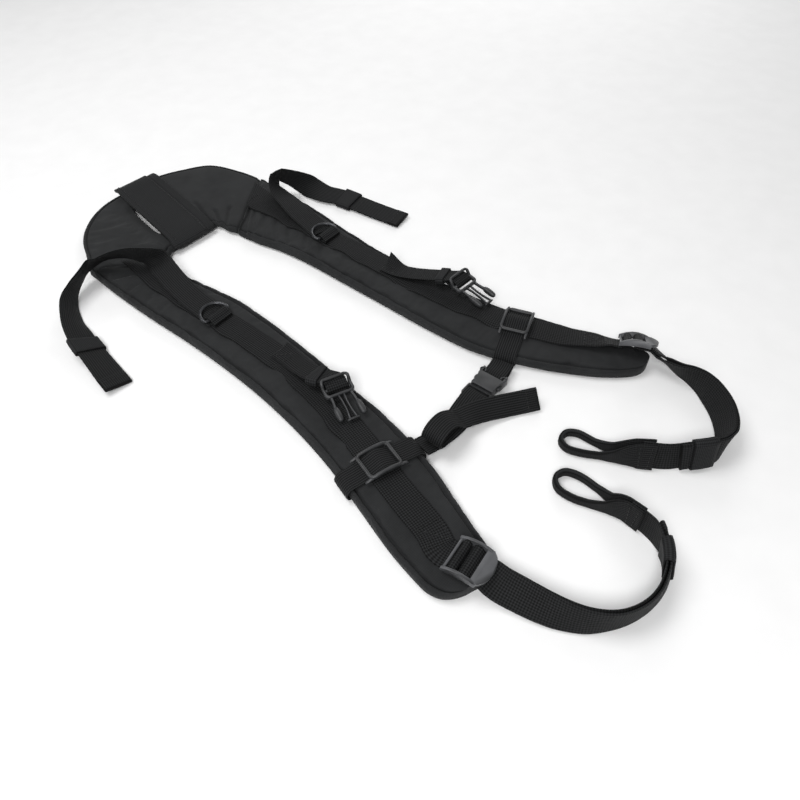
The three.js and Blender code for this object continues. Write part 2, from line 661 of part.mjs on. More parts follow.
// Ladder lock: arched side rails, three bars and a half-round thumb tab. Y runs towards the tab.
const LOCK = {
  clear: WEBBING.wide + 0.8,
  rail: 2.2,
  frontBar: { y: -0.8, z: 2.9, r: 1.1 },
  sewnBar: { y: 4.9, z: 4.6, r: 1.4 },
  strapBar: { y: 14, z: 5, r: 1.6 },
  tab: { from: 19.6, round: 21.5, reach: 9.5, z: 4.7, thick: 2.4 },
};

function lockGeometry() {
  const rail = new THREE.Shape();
  rail.moveTo(-2.4, 0.9);
  rail.quadraticCurveTo(11, 4.2, 24, 3);
  rail.lineTo(24.4, 6.6);
  rail.quadraticCurveTo(11, 12.8, -2.4, 4.2);
  rail.closePath();
  const half = LOCK.clear / 2 + LOCK.rail / 2;
  const outside = half + LOCK.rail / 2;
  const { from, round, reach, z, thick } = LOCK.tab;
  const tab = new THREE.Shape();
  tab.moveTo(-outside, from);
  tab.lineTo(outside, from);
  tab.lineTo(outside, round);
  tab.absellipse(0, round, outside, reach, 0, Math.PI);
  tab.closePath();
  const bars = [LOCK.frontBar, LOCK.sewnBar, LOCK.strapBar];
  return joined([
    sidePlate(rail, LOCK.rail, -half),
    sidePlate(rail, LOCK.rail, half),
    ...bars.map((bar) => barX(bar.r, 2 * half, bar.y, bar.z)),
    flatPlate(tab, thick, z, 10),
  ]);
}

// Three-bar slider: two arched rails and three bars. Y runs along the webbing that it grips.
const SLIDER = {
  clear: NARROW.wide + 0.8,
  rail: 2,
  endBar: { y: 13, z: 3.6, r: 1.2 },
  midBar: { y: 0, z: 3, r: 1.5 },
};

function sliderGeometry() {
  const rail = new THREE.Shape();
  rail.moveTo(-19, 0.4);
  rail.quadraticCurveTo(0, 4.4, 19, 0.4);
  rail.lineTo(19, 1.8);
  rail.quadraticCurveTo(0, 12.4, -19, 1.8);
  rail.closePath();
  const half = SLIDER.clear / 2 + SLIDER.rail / 2;
  const { endBar, midBar } = SLIDER;
  return joined([
    sidePlate(rail, SLIDER.rail, -half),
    sidePlate(rail, SLIDER.rail, half),
    barX(endBar.r, 2 * half, -endBar.y, endBar.z),
    barX(endBar.r, 2 * half, endBar.y, endBar.z),
    barX(midBar.r, 2 * half, midBar.y, midBar.z),
  ]);
}

// Plug half of a side-release buckle: a webbing frame behind Y = 0, then a guide and two sprung prongs
const CLIP = {
  frameHalf: 11.8, wall: 1.8, half: 11.2, frame: 13.5, prong: 26, spread: 0.6, thick: 3.4, bar: 1.3,
};
const CHEST_PLUG = { ...CLIP, frameHalf: 12, wall: 1.5, half: 9.2, frame: 13.8, prong: 14, spread: -0.5 };

function plugGeometry({ frameHalf, wall, half, frame, prong, spread, thick, bar }) {
  const ring = roundedRect(-frameHalf, -frame, frameHalf, 0, 2);
  ring.holes.push(rect(-frameHalf + wall, -frame + 2.4, frameHalf - wall, -2.4));
  const arm = new THREE.Shape();
  arm.moveTo(half - 3.8, -1);
  arm.lineTo(half - 1, -1);
  arm.quadraticCurveTo(half - 1, prong * 0.45, half - 1.2 + spread, prong * 0.55);
  arm.quadraticCurveTo(half + 1.1 + spread, prong * 0.75, half - 2.2 + spread, prong);
  arm.lineTo(half - 4.8 + spread, prong);
  arm.quadraticCurveTo(half - 3.6 + spread, prong * 0.6, half - 3.8, -1);
  const guide = rect(-3.2, -1, 3.2, prong + 1);
  guide.holes.push(rect(-1.8, 1, 1.8, prong - 1));
  const armSolid = flatPlate(arm, thick, -thick / 2, 5);
  return joined([
    flatPlate(ring, thick + 1, -thick / 2 - 0.5, 3),
    barX(bar, 2 * frameHalf - 2, -frame / 2, 0),
    flatPlate(guide, thick - 0.6, -thick / 2 + 0.3),
    armSolid,
    armSolid.clone().rotateY(Math.PI),
  ]);
}

// Socket half: a rounded body open at its mouth and at two side windows, with a webbing bar behind
const SOCKET = {
  half: 12.3, mouth: 10.8, from: 0.4, body: 16.8, slot: 3.2, bar: 3, barThick: 2.6, thick: 8.4,
};

function socketGeometry() {
  const { half, mouth, from, body, slot, bar, barThick, thick } = SOCKET;
  const end = body + slot + bar;
  const outline = new THREE.Shape();
  outline.moveTo(-mouth, from);
  outline.lineTo(mouth, from);
  outline.quadraticCurveTo(mouth - 0.8, 8, half, body - 2);
  outline.lineTo(half, end);
  outline.lineTo(-half, end);
  outline.lineTo(-half, body - 2);
  outline.quadraticCurveTo(-mouth + 0.8, 8, -mouth, from);
  const web = NARROW.wide / 2 + 0.4;
  const hollowThick = CHEST_PLUG.thick + 1;
  const cuts = [
    flatPlate(rect(-web, body, web, body + slot), 2 * thick, -thick),
    new THREE.BoxGeometry(2 * (CHEST_PLUG.half + 0.2), 2 * (body - 1.4), hollowThick),
    new THREE.BoxGeometry(4 * half, 6, hollowThick).translate(0, 10.5, 0),
  ];
  for (const z of [1, -1]) {
    const over = new THREE.BoxGeometry(2 * web, bar + 2, thick);
    cuts.push(over.translate(0, body + slot + bar / 2 + 1, (z * (thick + barThick)) / 2));
  }
  const whole = solid(flatPlate(outline, thick, -thick / 2));
  return geometryOf(cuts.map(solid).reduce((left, cut) => left.subtract(cut), whole));
}

// D-ring: round wire along a straight bar and a bow. The bar lies along X and the bow points along Y.
function ringGeometry() {
  const half = (RING.inside + RING.wire) / 2;
  const straight = RING.depth - half;
  const outline = new THREE.Shape();
  outline.moveTo(-half, 0);
  outline.lineTo(half, 0);
  outline.lineTo(half, straight);
  outline.absarc(0, straight, half, 0, Math.PI);
  outline.lineTo(-half, 0);
  const middles = outline.getSpacedPoints(RING.steps).slice(0, -1);
  const rings = middles.map((middle, i) => {
    const before = middles[(i + middles.length - 1) % middles.length];
    const after = middles[(i + 1) % middles.length];
    const across = new THREE.Vector2(after.y - before.y, before.x - after.x).normalize();
    const circle = [];
    for (let j = 0; j < RING.sides; j += 1) {
      const angle = (2 * Math.PI * j) / RING.sides;
      const reach = (Math.cos(angle) * RING.wire) / 2;
      const z = (Math.sin(angle) * RING.wire) / 2;
      circle.push(new THREE.Vector3(middle.x + across.x * reach, middle.y + across.y * reach, z));
    }
    return circle;
  });
  return loft(rings, true);
}

// A path in Y and Z turned into rows of webbing across X
function crossRows(points, turn = 0) {
  return points.map(([y, z]) => ({ x: 0, y, z, turn, lean: 0 }));
}

// Webbing folded round a bar at the origin, its two layers running back along -Y
function foldedTabRows(barRadius, thick, play, long) {
  const reach = barRadius + play + thick / 2;
  const upper = -reach + thick + GAP;
  const points = [[-long, -reach], [-long / 2, -reach], [0, -reach]];
  for (const degrees of [-45, 0, 45]) {
    const angle = THREE.MathUtils.degToRad(degrees);
    points.push([Math.cos(angle) * reach, Math.sin(angle) * reach]);
  }
  points.push([0, reach], [-long * 0.35, reach * 0.75], [-long * 0.75, upper + 0.6], [-long, upper]);
  return crossRows(points);
}

// Rows given in a placed node's own frame, as rows of the harness
function placedRows(node, rows) {
  node.updateWorldMatrix(true, false);
  return rows.map((row) => {
    const at = node.localToWorld(new THREE.Vector3(row.x, row.y, row.z));
    const edge = edgeOf(row).transformDirection(node.matrixWorld);
    const turn = THREE.MathUtils.radToDeg(Math.atan2(edge.y, edge.x));
    return { x: at.x, y: at.y, z: at.z, turn, lean: THREE.MathUtils.radToDeg(Math.asin(edge.z)) };
  });
}

function placed(place, z) {
  const group = new THREE.Group();
  group.position.set(place.x, place.y, z);
  group.rotation.z = THREE.MathUtils.degToRad(place.heading);
  harness.add(group);
  return group;
}

// How far an edge of the pad lies from a point, along a direction
function reachTo(curve, from, direction) {
  let best = { off: Infinity, reach: 0 };
  for (const point of curve.getPoints(400)) {
    const line = point.clone().sub(from);
    const off = Math.abs(line.cross(direction));
    if (off < best.off) best = { off, reach: line.dot(direction) };
  }
  return best.reach;
}

// Soft panels
harness.add(mesh("yoke_band", bandGeometry(), "elastic"));
harness.add(mesh("left_yoke", yokeGeometry("left"), "cover"));
const rightYoke = solid(yokeGeometry("right")).subtract(solid(slitGeometry()));
harness.add(mesh("right_yoke", geometryOf(rightYoke), "cover"));
for (const side of SIDES) harness.add(mesh(side + "_pad", padGeometry(side), "cover"));

function addRing(side) {
  const barHeight = RAIL_TOP + GAP + TAB.thick + TAB.play + RING.wire / 2;
  const group = placed(PLACES[side].ring, barHeight);
  const ring = mesh(side + "_ring", ringGeometry(), "wire");
  ring.rotation.x = THREE.MathUtils.degToRad(RING.tilt);
  group.add(ring);
  const rows = foldedTabRows(RING.wire / 2, TAB.thick, TAB.play, TAB.long);
  group.add(mesh(side + "_ring_tab", ribbon(framesAlong(rows, TAB, 18)), "webbing"));
}

function addLifter(side) {
  const frames = resting(hemmed(framesAlong(LIFTER_ROWS[side], WEBBING, 50)));
  harness.add(mesh(side + "_lifter", ribbon(frames), "webbing"));
  const held = framesNear(frames, PLACES[side].lifterKeeper, KEEPER.long);
  const keeper = sleeve(held, WEBBING.wide + KEEPER.play, WEBBING.thick + KEEPER.play, KEEPER.wall);
  harness.add(mesh(side + "_lifter_keeper", keeper, "elastic"));
}

// The ladder lock, the rail's end round its first bar and the strap over its last
function addLock(side) {
  const place = PLACES[side].lock;
  const group = placed(place, RAIL_TOP + place.up);
  const lock = mesh(side + "_lock", lockGeometry(), "plastic");
  lock.rotation.y = THREE.MathUtils.degToRad(place.roll);
  group.add(lock);
  const { sewnBar, strapBar } = LOCK;
  const acrossLock = side === "right" ? 180 : 0;
  const across = side === "right" ? 0 : 180;

  const sewn = sewnBar.r + GAP + WRAP + WEBBING.thick / 2;
  const railEnd = placedRows(lock, crossRows([
    [-9, -0.8], [-1, -0.7], [1.8, 1],
    [sewnBar.y - sewn, sewnBar.z], [sewnBar.y, sewnBar.z + sewn], [sewnBar.y + sewn, sewnBar.z],
    [sewnBar.y + sewn - 0.3, sewnBar.z - 2],
  ], acrossLock));
  const railRows = RAIL_ROWS[side].map(({ x, y, up = 0, lean = 0 }) => (
    { x, y, z: RAIL_MIDDLE + up, turn: across, lean }
  ));
  const rail = framesAlong([...railRows, ...railEnd], WEBBING, 42);
  harness.add(mesh(side + "_rail", ribbon(rail), "webbing"));

  const over = strapBar.r + GAP + WRAP + WEBBING.thick / 2;
  const mainEnd = placedRows(lock, crossRows([
    [24.5, 0.7], [19, 0.8], [14, 0.85], [11, 1.9], [strapBar.y - over - 0.8, 4.2],
    [strapBar.y - over * 0.75, strapBar.z + over * 0.72], [strapBar.y, strapBar.z + over],
  ], acrossLock));
  const tailStart = placedRows(lock, crossRows([
    [strapBar.y + over * 0.8, strapBar.z + over * 0.62], [17.5, 4.7], [19.2, 3.2], [24.5, 3.1],
  ], acrossLock));
  const outward = side === "right" ? -1 : 1;
  const { rows: doubled, tip } = TAILS[side];
  const apart = (row) => (outward * (row.apart ?? DOUBLE)) / 2;
  const mainRows = offsetRows(STRAP_ROWS[side], (row, i) => (i < doubled ? -apart(row) : 0));
  const tailRows = offsetRows(STRAP_ROWS[side], apart).slice(0, doubled);
  const strapRows = [...mainRows].reverse().concat(mainEnd, tailStart, tailRows, tip);
  const strap = resting(hemmed(framesAlong(strapRows, WEBBING, 88), HEM / 2));
  harness.add(mesh(side + "_strap", ribbon(strap), "webbing"));

  const main = framesNear(strap.slice(0, 30), PLACES[side].strapKeeper, KEEPER.long);
  const held = offsetFrames(main, (-outward * DOUBLE) / 2);
  const doubleThick = DOUBLE + WEBBING.thick + KEEPER.play;
  const keeper = sleeve(held, WEBBING.wide + KEEPER.play, doubleThick, KEEPER.wall);
  harness.add(mesh(side + "_strap_keeper", keeper, "elastic"));
}

function addLoop(side) {
  const turn = side === "right" ? 90 : 76;
  const rows = LOOP_ROWS[side].map((row) => ({ ...row, turn }));
  harness.add(mesh(side + "_loop", ribbon(resting(framesAlong(rows, FOLDED, 32))), "webbing"));
}

// The three-bar slider on the rail, and the webbing loop through it and round the pad
function addSlider(side) {
  const place = PLACES[side].slider;
  const group = placed({ ...place, heading: place.heading - 90 }, RAIL_TOP);
  group.add(mesh(side + "_slider", sliderGeometry(), "plastic"));
  const middle = new THREE.Vector2(place.x, place.y);
  const angle = THREE.MathUtils.degToRad(place.heading);
  const direction = new THREE.Vector2(Math.cos(angle), Math.sin(angle));
  const toOuter = reachTo(edgeCurve(PAD_ROWS[side], "out"), middle, direction);
  const toInner = reachTo(edgeCurve(PAD_ROWS[side], "in"), middle, direction);
  const onPad = GAP + NARROW.thick / 2 + PAD.thick - RAIL_TOP;
  const below = NARROW.thick / 2 + 0.3 - RAIL_TOP;
  const round = [
    { past: -9, up: onPad + 0.2 }, { past: -0.6, up: 11.9 - RAIL_TOP }, { past: 2.4, up: 8.4 - RAIL_TOP },
    { past: 2.7, up: 4.8 - RAIL_TOP }, { past: 1.2, up: 1.7 - RAIL_TOP }, { past: -5, up: below },
  ];
  const through = [[-17.5, 0.2], [-13, 1.15], [-7, 3.4], [0, 5.75], [7, 3.4], [13, 1.15], [17.5, 0.2]];
  const inSide = round.map(({ past, up }) => [toInner + past, up]);
  const outSide = round.map(({ past, up }) => [toOuter - past, up]).reverse();
  if (outSide[outSide.length - 1][0] > through[0][0] - 2) outSide.pop();
  const under = [[toInner * 0.4, below], [toOuter * 0.4, below]];
  const rows = crossRows([...through, ...inSide, ...under, ...outSide]);
  group.add(mesh(side + "_chest_loop", ribbon(framesAlong(rows, NARROW, 42, true), true), "webbing"));
}

// The strip's end folded round the clip's bar, both layers held in a fabric sleeve
function addClip(side) {
  const place = PLACES[side].clip;
  const group = placed(place, place.z);
  const clip = mesh(side + "_clip", plugGeometry(CLIP), "plastic");
  clip.rotation.x = THREE.MathUtils.degToRad(place.nose);
  group.add(clip);
  const bar = -CLIP.frame / 2;
  const reach = CLIP.bar + GAP + WRAP + STRIP.thick / 2;
  const past = CLIP.thick / 2 + 0.5 + GAP + WRAP + STRIP.thick / 2;
  const fold = placedRows(clip, crossRows([
    [-CLIP.frame + 0.5, past], [bar - 1.8, reach + 0.3], [bar, reach], [bar + reach, 0], [bar, -reach],
    [bar - 1.8, -reach - 0.3], [-CLIP.frame + 0.5, -past],
  ], 180));
  const upper = STRIP_ROWS[side].map((row) => ({ turn: 0, lean: 0, ...row }));
  const apart = STRIP.thick + 2 * GAP;
  const under = offsetRows([...upper, fold[0]], () => apart).slice(-3, -1).reverse();
  const frames = framesAlong([...upper, ...fold, ...under], STRIP, 44);
  harness.add(mesh(side + "_clip_strip", ribbon(frames), "webbing"));
  const upperFrames = framesAlong([...upper, fold[0]], STRIP, 40);
  const held = offsetFrames(framesNear(upperFrames, PLACES[side].sleeve, SLEEVE.long), apart / 2);
  const inside = apart + STRIP.thick + SLEEVE.play;
  const fabric = sleeve(held, STRIP.wide + SLEEVE.play, inside, KEEPER.wall);
  harness.add(mesh(side + "_clip_sleeve", fabric, "elastic"));
}

for (const side of SIDES) {
  addRing(side);
  addLifter(side);
  addLock(side);
  addLoop(side);
  addSlider(side);
  addClip(side);
}

// The fastened chest buckle with its webbing
const buckle = placed(CHEST_BUCKLE, CHEST_BUCKLE.z);
buckle.add(mesh("chest_plug", plugGeometry(CHEST_PLUG), "plastic"));
buckle.add(mesh("chest_socket", socketGeometry(), "plastic"));

const plugBar = -CHEST_PLUG.frame / 2;
const plugReach = CHEST_PLUG.bar + GAP + WRAP + NARROW.thick / 2;
const pastFrame = CHEST_PLUG.thick / 2 + 0.5 + GAP + NARROW.thick / 2;
const plugFold = placedRows(buckle, crossRows([
  [-CHEST_PLUG.frame + 1, -pastFrame], [plugBar, -plugReach], [plugBar + plugReach, 0],
  [plugBar, plugReach], [-CHEST_PLUG.frame + 1, pastFrame],
], 180));
const level = (rows) => rows.map((row) => ({ lean: 0, ...row }));
const chestRows = [...level(CHEST_OUT_ROWS), ...plugFold, ...level(CHEST_BACK_ROWS)];
const chestFrames = resting(hemmed(framesAlong(chestRows, NARROW, 60)));
harness.add(mesh("chest_strap", ribbon(chestFrames), "webbing"));

const socketBar = SOCKET.body + SOCKET.slot + SOCKET.bar / 2;
const socketReach = SOCKET.barThick / 2 + 2 * GAP + WRAP + NARROW.thick / 2;
const inSlot = SOCKET.body + SOCKET.slot - 2 * GAP - NARROW.thick / 2;
const socketFold = placedRows(buckle, crossRows([
  [socketBar - 0.8, -socketReach], [inSlot + 0.3, 1.7 - socketReach], [inSlot, 0],
  [inSlot + 0.3, socketReach - 1.7], [socketBar - 0.8, socketReach],
], 180));
const LEFT_CHEST_ROWS = [
  { x: 57.4, y: -142.2, z: 5.6, turn: 104, lean: 0 },
  { x: 48, y: -144.6, z: 4.4, turn: 99, lean: 0 },
  { x: 48, y: -144.6, z: 8.4, turn: 99, lean: 0 },
  { x: 57.4, y: -142.2, z: 7.9, turn: 104, lean: 0 },
];
const leftChest = [...LEFT_CHEST_ROWS.slice(0, 2), ...socketFold, ...LEFT_CHEST_ROWS.slice(2)];
harness.add(mesh("left_chest_strap", ribbon(framesAlong(leftChest, NARROW, 24)), "webbing"));

// The origin: the middle of the box that holds the harness, on the surface that it lies on
harness.updateMatrixWorld(true);
const extent = new THREE.Box3().setFromObject(harness, true);
const middle = extent.getCenter(new THREE.Vector3());
harness.position.set(-middle.x, -middle.y, -extent.min.z);

export default harness;
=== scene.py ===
# %% [markdown]
# # Harness shoulder straps, dressed from their solid model
# Two padded arms hang from one yoke, with sewn webbing and moulded fittings on them. The solid model already
# holds every place and size. Here each soft solid is replaced by a finer surface in the same place, the
# fittings get rounded edges, and everything gets a finish that reads as cloth, webbing, plastic or steel.

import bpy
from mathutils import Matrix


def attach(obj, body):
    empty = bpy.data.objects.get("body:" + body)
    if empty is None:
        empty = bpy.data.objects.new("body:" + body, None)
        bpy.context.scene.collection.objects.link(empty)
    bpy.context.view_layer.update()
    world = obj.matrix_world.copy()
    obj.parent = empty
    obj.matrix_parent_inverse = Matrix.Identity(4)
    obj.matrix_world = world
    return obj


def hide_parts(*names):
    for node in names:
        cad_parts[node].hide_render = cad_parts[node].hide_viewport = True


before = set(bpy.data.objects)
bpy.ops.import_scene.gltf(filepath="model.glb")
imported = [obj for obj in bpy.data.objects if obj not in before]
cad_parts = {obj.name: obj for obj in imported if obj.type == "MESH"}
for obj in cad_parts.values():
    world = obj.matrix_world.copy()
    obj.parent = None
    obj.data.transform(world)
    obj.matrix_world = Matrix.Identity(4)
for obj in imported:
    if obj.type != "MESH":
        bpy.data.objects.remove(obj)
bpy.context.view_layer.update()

import math

import bmesh
import bpy
import numpy as np
from mathutils import Matrix

MM = 0.001
BOTH = ("right", "left")

# %% [markdown]
# ## The camera
# A camera could be pointed by a constraint, but a fixed matrix repeats exactly. Its columns are the directions
# to the right, up and backwards, followed by the eye's place. The tables below are in millimetres from a
# measuring point, so one offset carries all of them into the model's frame.

# %% Camera
ORIGIN = np.array([7.83772, 1.62636, 0.0])
EYE = np.array([-330.0, -360.0, 450.0])
AHEAD = np.array([0.4976, 0.4356, -0.7501])
LENS, SENSOR = 31.5, 36.0


def metres(points):
    """Measured millimetres as metres in the model's frame: shift by the origin, then scale."""
    return (np.asarray(points, float) + ORIGIN) * MM


def unit(vectors):
    """Vectors divided by their length."""
    return vectors / np.linalg.norm(vectors, axis=-1, keepdims=True)


def add_object(name, data):
    """A new object at the origin with the given data, linked into the scene."""
    made = bpy.data.objects.new(name, data)
    bpy.context.scene.collection.objects.link(made)
    return made


def stand(thing, *columns):
    """Places an object by its directions to the right, up and backwards, and its place in metres."""
    thing.matrix_world = Matrix(np.vstack([np.column_stack(columns), [0, 0, 0, 1]]).tolist())


ahead = unit(AHEAD)
right = unit(np.cross(ahead, [0.0, 0.0, 1.0]))
lens = bpy.data.cameras.new("camera")
lens.lens, lens.sensor_width = LENS, SENSOR
lens.clip_start, lens.clip_end = 0.02, 40.0
camera = add_object("camera", lens)
stand(camera, right, np.cross(right, ahead), -ahead, metres(EYE))
bpy.context.scene.camera = camera
print("camera at", metres(EYE).round(4).tolist())

# %% [markdown]
# ## Floor and light
# The straps lie on a plain pale floor. Large soft lights and a white surround give the even light of a studio
# table; one light from behind draws the bright lines along edges of black plastic and webbing.

# %% Colour and node helpers


def colour(code):
    """An sRGB hex colour as linear light: each channel is divided by 12.92 or raised to the power 2.4."""
    channels = np.array([int(code[i:i + 2], 16) for i in (1, 3, 5)]) / 255
    linear = np.where(channels <= 0.04045, channels / 12.92, ((channels + 0.055) / 1.055) ** 2.4)
    return (*linear.tolist(), 1.0)


def node(tree, kind, inputs=(), ramp=(), **settings):
    """Adds one shader node: its settings, its ramp's stops, and a value or a link for each named input."""
    made = tree.nodes.new("ShaderNode" + kind)
    for key, value in settings.items():
        setattr(made, key, value)
    for element, (place, shade) in zip(made.color_ramp.elements if ramp else (), ramp):
        element.position, element.color = place, shade
    for key, value in dict(inputs).items():
        if isinstance(value, bpy.types.NodeSocket):
            tree.links.new(value, made.inputs[key])
        else:
            made.inputs[key].default_value = value
    return made


def finish(name, build):
    """A material whose nodes are added by build(tree), which returns the shader's inputs."""
    made = bpy.data.materials.new(name)
    made.use_nodes = True
    tree = made.node_tree
    tree.nodes.clear()
    shader = node(tree, "BsdfPrincipled", build(tree))
    node(tree, "OutputMaterial", {"Surface": shader.outputs["BSDF"]})
    return made


def solid_place(tree):
    """Where a point lies in its object, for textures that fill space."""
    return node(tree, "TexCoord").outputs["Object"]


def noise(tree, place, scale, **more):
    """Cloudy noise of a given scale, from 0 to 1."""
    return node(tree, "TexNoise", {"Vector": place, "Scale": scale, **more}).outputs["Fac"]


def wave(tree, place, spacing_mm, direction, **more):
    """Even bands across X or Y at a spacing: the texture's scale is 2 pi / (20 * spacing)."""
    inputs = {"Vector": place, "Scale": 2 * math.pi / (20 * spacing_mm * MM), **more}
    return node(tree, "TexWave", inputs, bands_direction=direction).outputs["Fac"]


def weighed(tree, value, share, rest=0.0):
    """The value * share + rest; each may be a number or a link."""
    return node(tree, "Math", {0: value, 1: share, 2: rest}, operation="MULTIPLY_ADD").outputs[0]


def toned(tree, value, low, high):
    """A colour between two stops, each a place on the ramp and a hex code."""
    stops = [(place, colour(code)) for place, code in (low, high)]
    return node(tree, "ValToRGB", {"Fac": value}, ramp=stops).outputs["Color"]


def spread(tree, value, low, high, **more):
    """A value from 0 to 1, unless told otherwise, spread between two numbers."""
    return node(tree, "MapRange", {"Value": value, "To Min": low, "To Max": high, **more}).outputs["Result"]


def bumped(tree, height, strength, deep_mm):
    """Normals tipped as if the height stood out by so many millimetres."""
    inputs = {"Height": height, "Strength": strength, "Distance": deep_mm * MM}
    return node(tree, "Bump", inputs).outputs["Normal"]


# %% Floor and lights
FLOOR_SIZE = 8.0
FLOOR_DROP = 0.0004


def floor_board(tree):
    """Painted board: near white, with a very faint unevenness."""
    grain = noise(tree, solid_place(tree), 30.0)
    return {"Base Color": toned(tree, grain, (0.3, "#f6f6f6"), (0.7, "#f9f9f9")), "Roughness": 0.9,
            "Specular IOR Level": 0.1}


half = FLOOR_SIZE / 2
sheet = bpy.data.meshes.new("floor")
corners = [(x * half, y * half, -FLOOR_DROP) for x, y in ((-1, -1), (1, -1), (1, 1), (-1, 1))]
sheet.from_pydata(corners, [], [(0, 1, 2, 3)])
floor = add_object("floor", sheet)
floor.data.materials.append(finish("painted_board", floor_board))

world = bpy.data.worlds.new("studio")
bpy.context.scene.world = world
world.use_nodes = True
surround = world.node_tree.nodes["Background"].inputs
surround["Color"].default_value, surround["Strength"].default_value = colour("#ffffff"), 0.3
bpy.context.scene.view_settings.view_transform = "Standard"

# name: place in metres, size in metres, power in watts
LAMPS = {
    "top": ((-0.35, 0.55, 1.5), 0.9, 12.5),
    "front": ((-0.8, -0.55, 0.95), 0.4, 9.0),
    "edge": ((1.2, 0.6, 0.7), 0.8, 5.0),
}
for name, (place, size, power) in LAMPS.items():
    lamp = bpy.data.lights.new(name, "AREA")
    lamp.size, lamp.energy = size, power
    back = unit(np.array(place))
    side = unit(np.cross([0.0, 0.0, 1.0], back))
    stand(add_object(name, lamp), side, np.cross(back, side), back, place)
print("lamps:", ", ".join(LAMPS))

# %% [markdown]
# ## Finishes
# Everything on the real object is black, so the finishes differ by how they scatter light. A wave texture's
# scale is 2 pi / (20 * spacing), because its bands repeat every 2 pi / 20 of the coordinate. Webbing reads its
# own UV map, in metres across and along, so that its ribs follow every bend. The covers read Object
# coordinates, because their panels lie nearly flat.

# %% Cover cloth
THREAD_MM = 1.5  # real pack cloth has about 0.4 mm between threads; drawn coarser so that it shows
MOTTLE_MM = 24.0


def pack_cloth(tree):
    """Plain-weave nylon pack cloth: matte black, with a soft bloom at grazing light and faint mottling."""
    place = solid_place(tree)
    warp, weft = (wave(tree, place, THREAD_MM, direction) for direction in "XY")
    mottle = noise(tree, place, 1 / (MOTTLE_MM * MM), Detail=6.0, Roughness=0.62)
    mixed = weighed(tree, weighed(tree, warp, weft), 0.22, mottle)
    return {"Base Color": toned(tree, mixed, (0.30, "#191a1b"), (0.85, "#292a2b")),
            "Roughness": spread(tree, mottle, 0.78, 0.92), "Normal": bumped(tree, mixed, 0.35, 0.35),
            "Specular IOR Level": 0.25, "Sheen Weight": 0.05, "Sheen Roughness": 0.5}


# %% Webbing, woven tape and thread
RIB_MM = 2.0  # real ribs are about 1.2 mm apart; drawn coarser so that they show
PICK_MM = 2.0  # spacing of the cross threads, drawn coarser for the same reason


def ribbed(dark, light, rib_mm, pick_mm, rib_share, depth_mm):
    """Woven nylon: ribs along the length, broken by the cross threads; the valleys are painted darker as
    painted shade.
    """

    def build(tree):
        place = node(tree, "UVMap", uv_map="weave").outputs["UV"]
        rib = wave(tree, place, rib_mm, "X")
        pick = wave(tree, place, pick_mm, "Y", **{"Distortion": 1.2, "Detail Scale": 2.0})
        weave = weighed(tree, pick, 1 - rib_share, weighed(tree, rib, rib_share))
        fade = noise(tree, solid_place(tree), 60.0, Detail=5.0)
        mixed = weighed(tree, fade, 0.25, weave)
        # The colour follows the weave's height, so its valleys get painted shade on top of the bump's own
        # shading.
        return {"Base Color": toned(tree, mixed, (0.3, dark), (1.0, light)),
                "Roughness": spread(tree, fade, 0.62, 0.82), "Normal": bumped(tree, weave, 1.0, depth_mm),
                "Specular IOR Level": 0.14, "Sheen Weight": 0.02, "Sheen Roughness": 0.4}

    return build


def sewing_thread(tree):
    """Bonded nylon sewing thread: a little shinier than the cloth round it."""
    twist = noise(tree, solid_place(tree), 900.0)
    return {"Base Color": toned(tree, twist, (0.3, "#050505"), (0.7, "#101011")), "Roughness": 0.5,
            "Specular IOR Level": 0.45}


# %% Moulded plastic and coated wire
GRAIN_MM = 0.9


def moulded_acetal(tree):
    """Injection-moulded acetal: dark grey, fine spark-eroded grain, painted paler along its edges as a painted
    highlight, with a little wear.
    """
    place = solid_place(tree)
    grain = noise(tree, place, 1 / (GRAIN_MM * MM), Detail=3.0)
    cloud = noise(tree, place, 90.0, Detail=4.0)
    edge = node(tree, "NewGeometry").outputs["Pointiness"]
    # Pointiness finds the convex edges, which are painted paler: a painted highlight, with a little wear.
    edge_wear_and_highlight = spread(tree, edge, 0.0, 0.5, **{"From Min": 0.52, "From Max": 0.64})
    mixed = weighed(tree, cloud, 0.3, edge_wear_and_highlight)
    return {"Base Color": toned(tree, mixed, (0.1, "#1a1b1c"), (1.0, "#67686b")),
            "Roughness": spread(tree, cloud, 0.38, 0.52), "Normal": bumped(tree, grain, 0.25, 0.08),
            "IOR": 1.48}


def coated_wire(tree):
    """Bent steel wire with a black electro-coat: dark, smooth, with sharp highlights."""
    cloud = noise(tree, solid_place(tree), 220.0, Detail=4.0)
    return {"Base Color": toned(tree, cloud, (0.3, "#303133"), (0.75, "#4c4d50")),
            "Roughness": spread(tree, cloud, 0.26, 0.36), "Normal": bumped(tree, cloud, 0.15, 0.1),
            "Metallic": 0.6}


FINISHES = {
    "cover": finish("nylon_pack_cloth", pack_cloth),
    "webbing": finish("nylon_webbing", ribbed("#050505", "#28292a", RIB_MM, PICK_MM, 0.5, 0.36)),
    "chest": finish("ribbed_nylon_webbing", ribbed("#060606", "#28292a", RIB_MM, 1.5, 0.72, 0.34)),
    "elastic": finish("woven_tape", ribbed("#121213", "#2c2d2e", 1.5, 1.4, 0.5, 0.14)),
    "plastic": finish("moulded_acetal", moulded_acetal),
    "wire": finish("coated_wire", coated_wire),
    "thread": finish("sewing_thread", sewing_thread),
}
print("finishes:", ", ".join(FINISHES))

# %% [markdown]
# ## Curves and skins
# Straps could be drawn as Blender curves, but their edges here tip over as they run, so each one is a profile
# carried along a path. The path is a smooth curve through the rows of a table, and each row also says which
# way the strap's edge points. Every skin below is one grid of points turned into quads in a single step.

# %% Smooth curves through rows


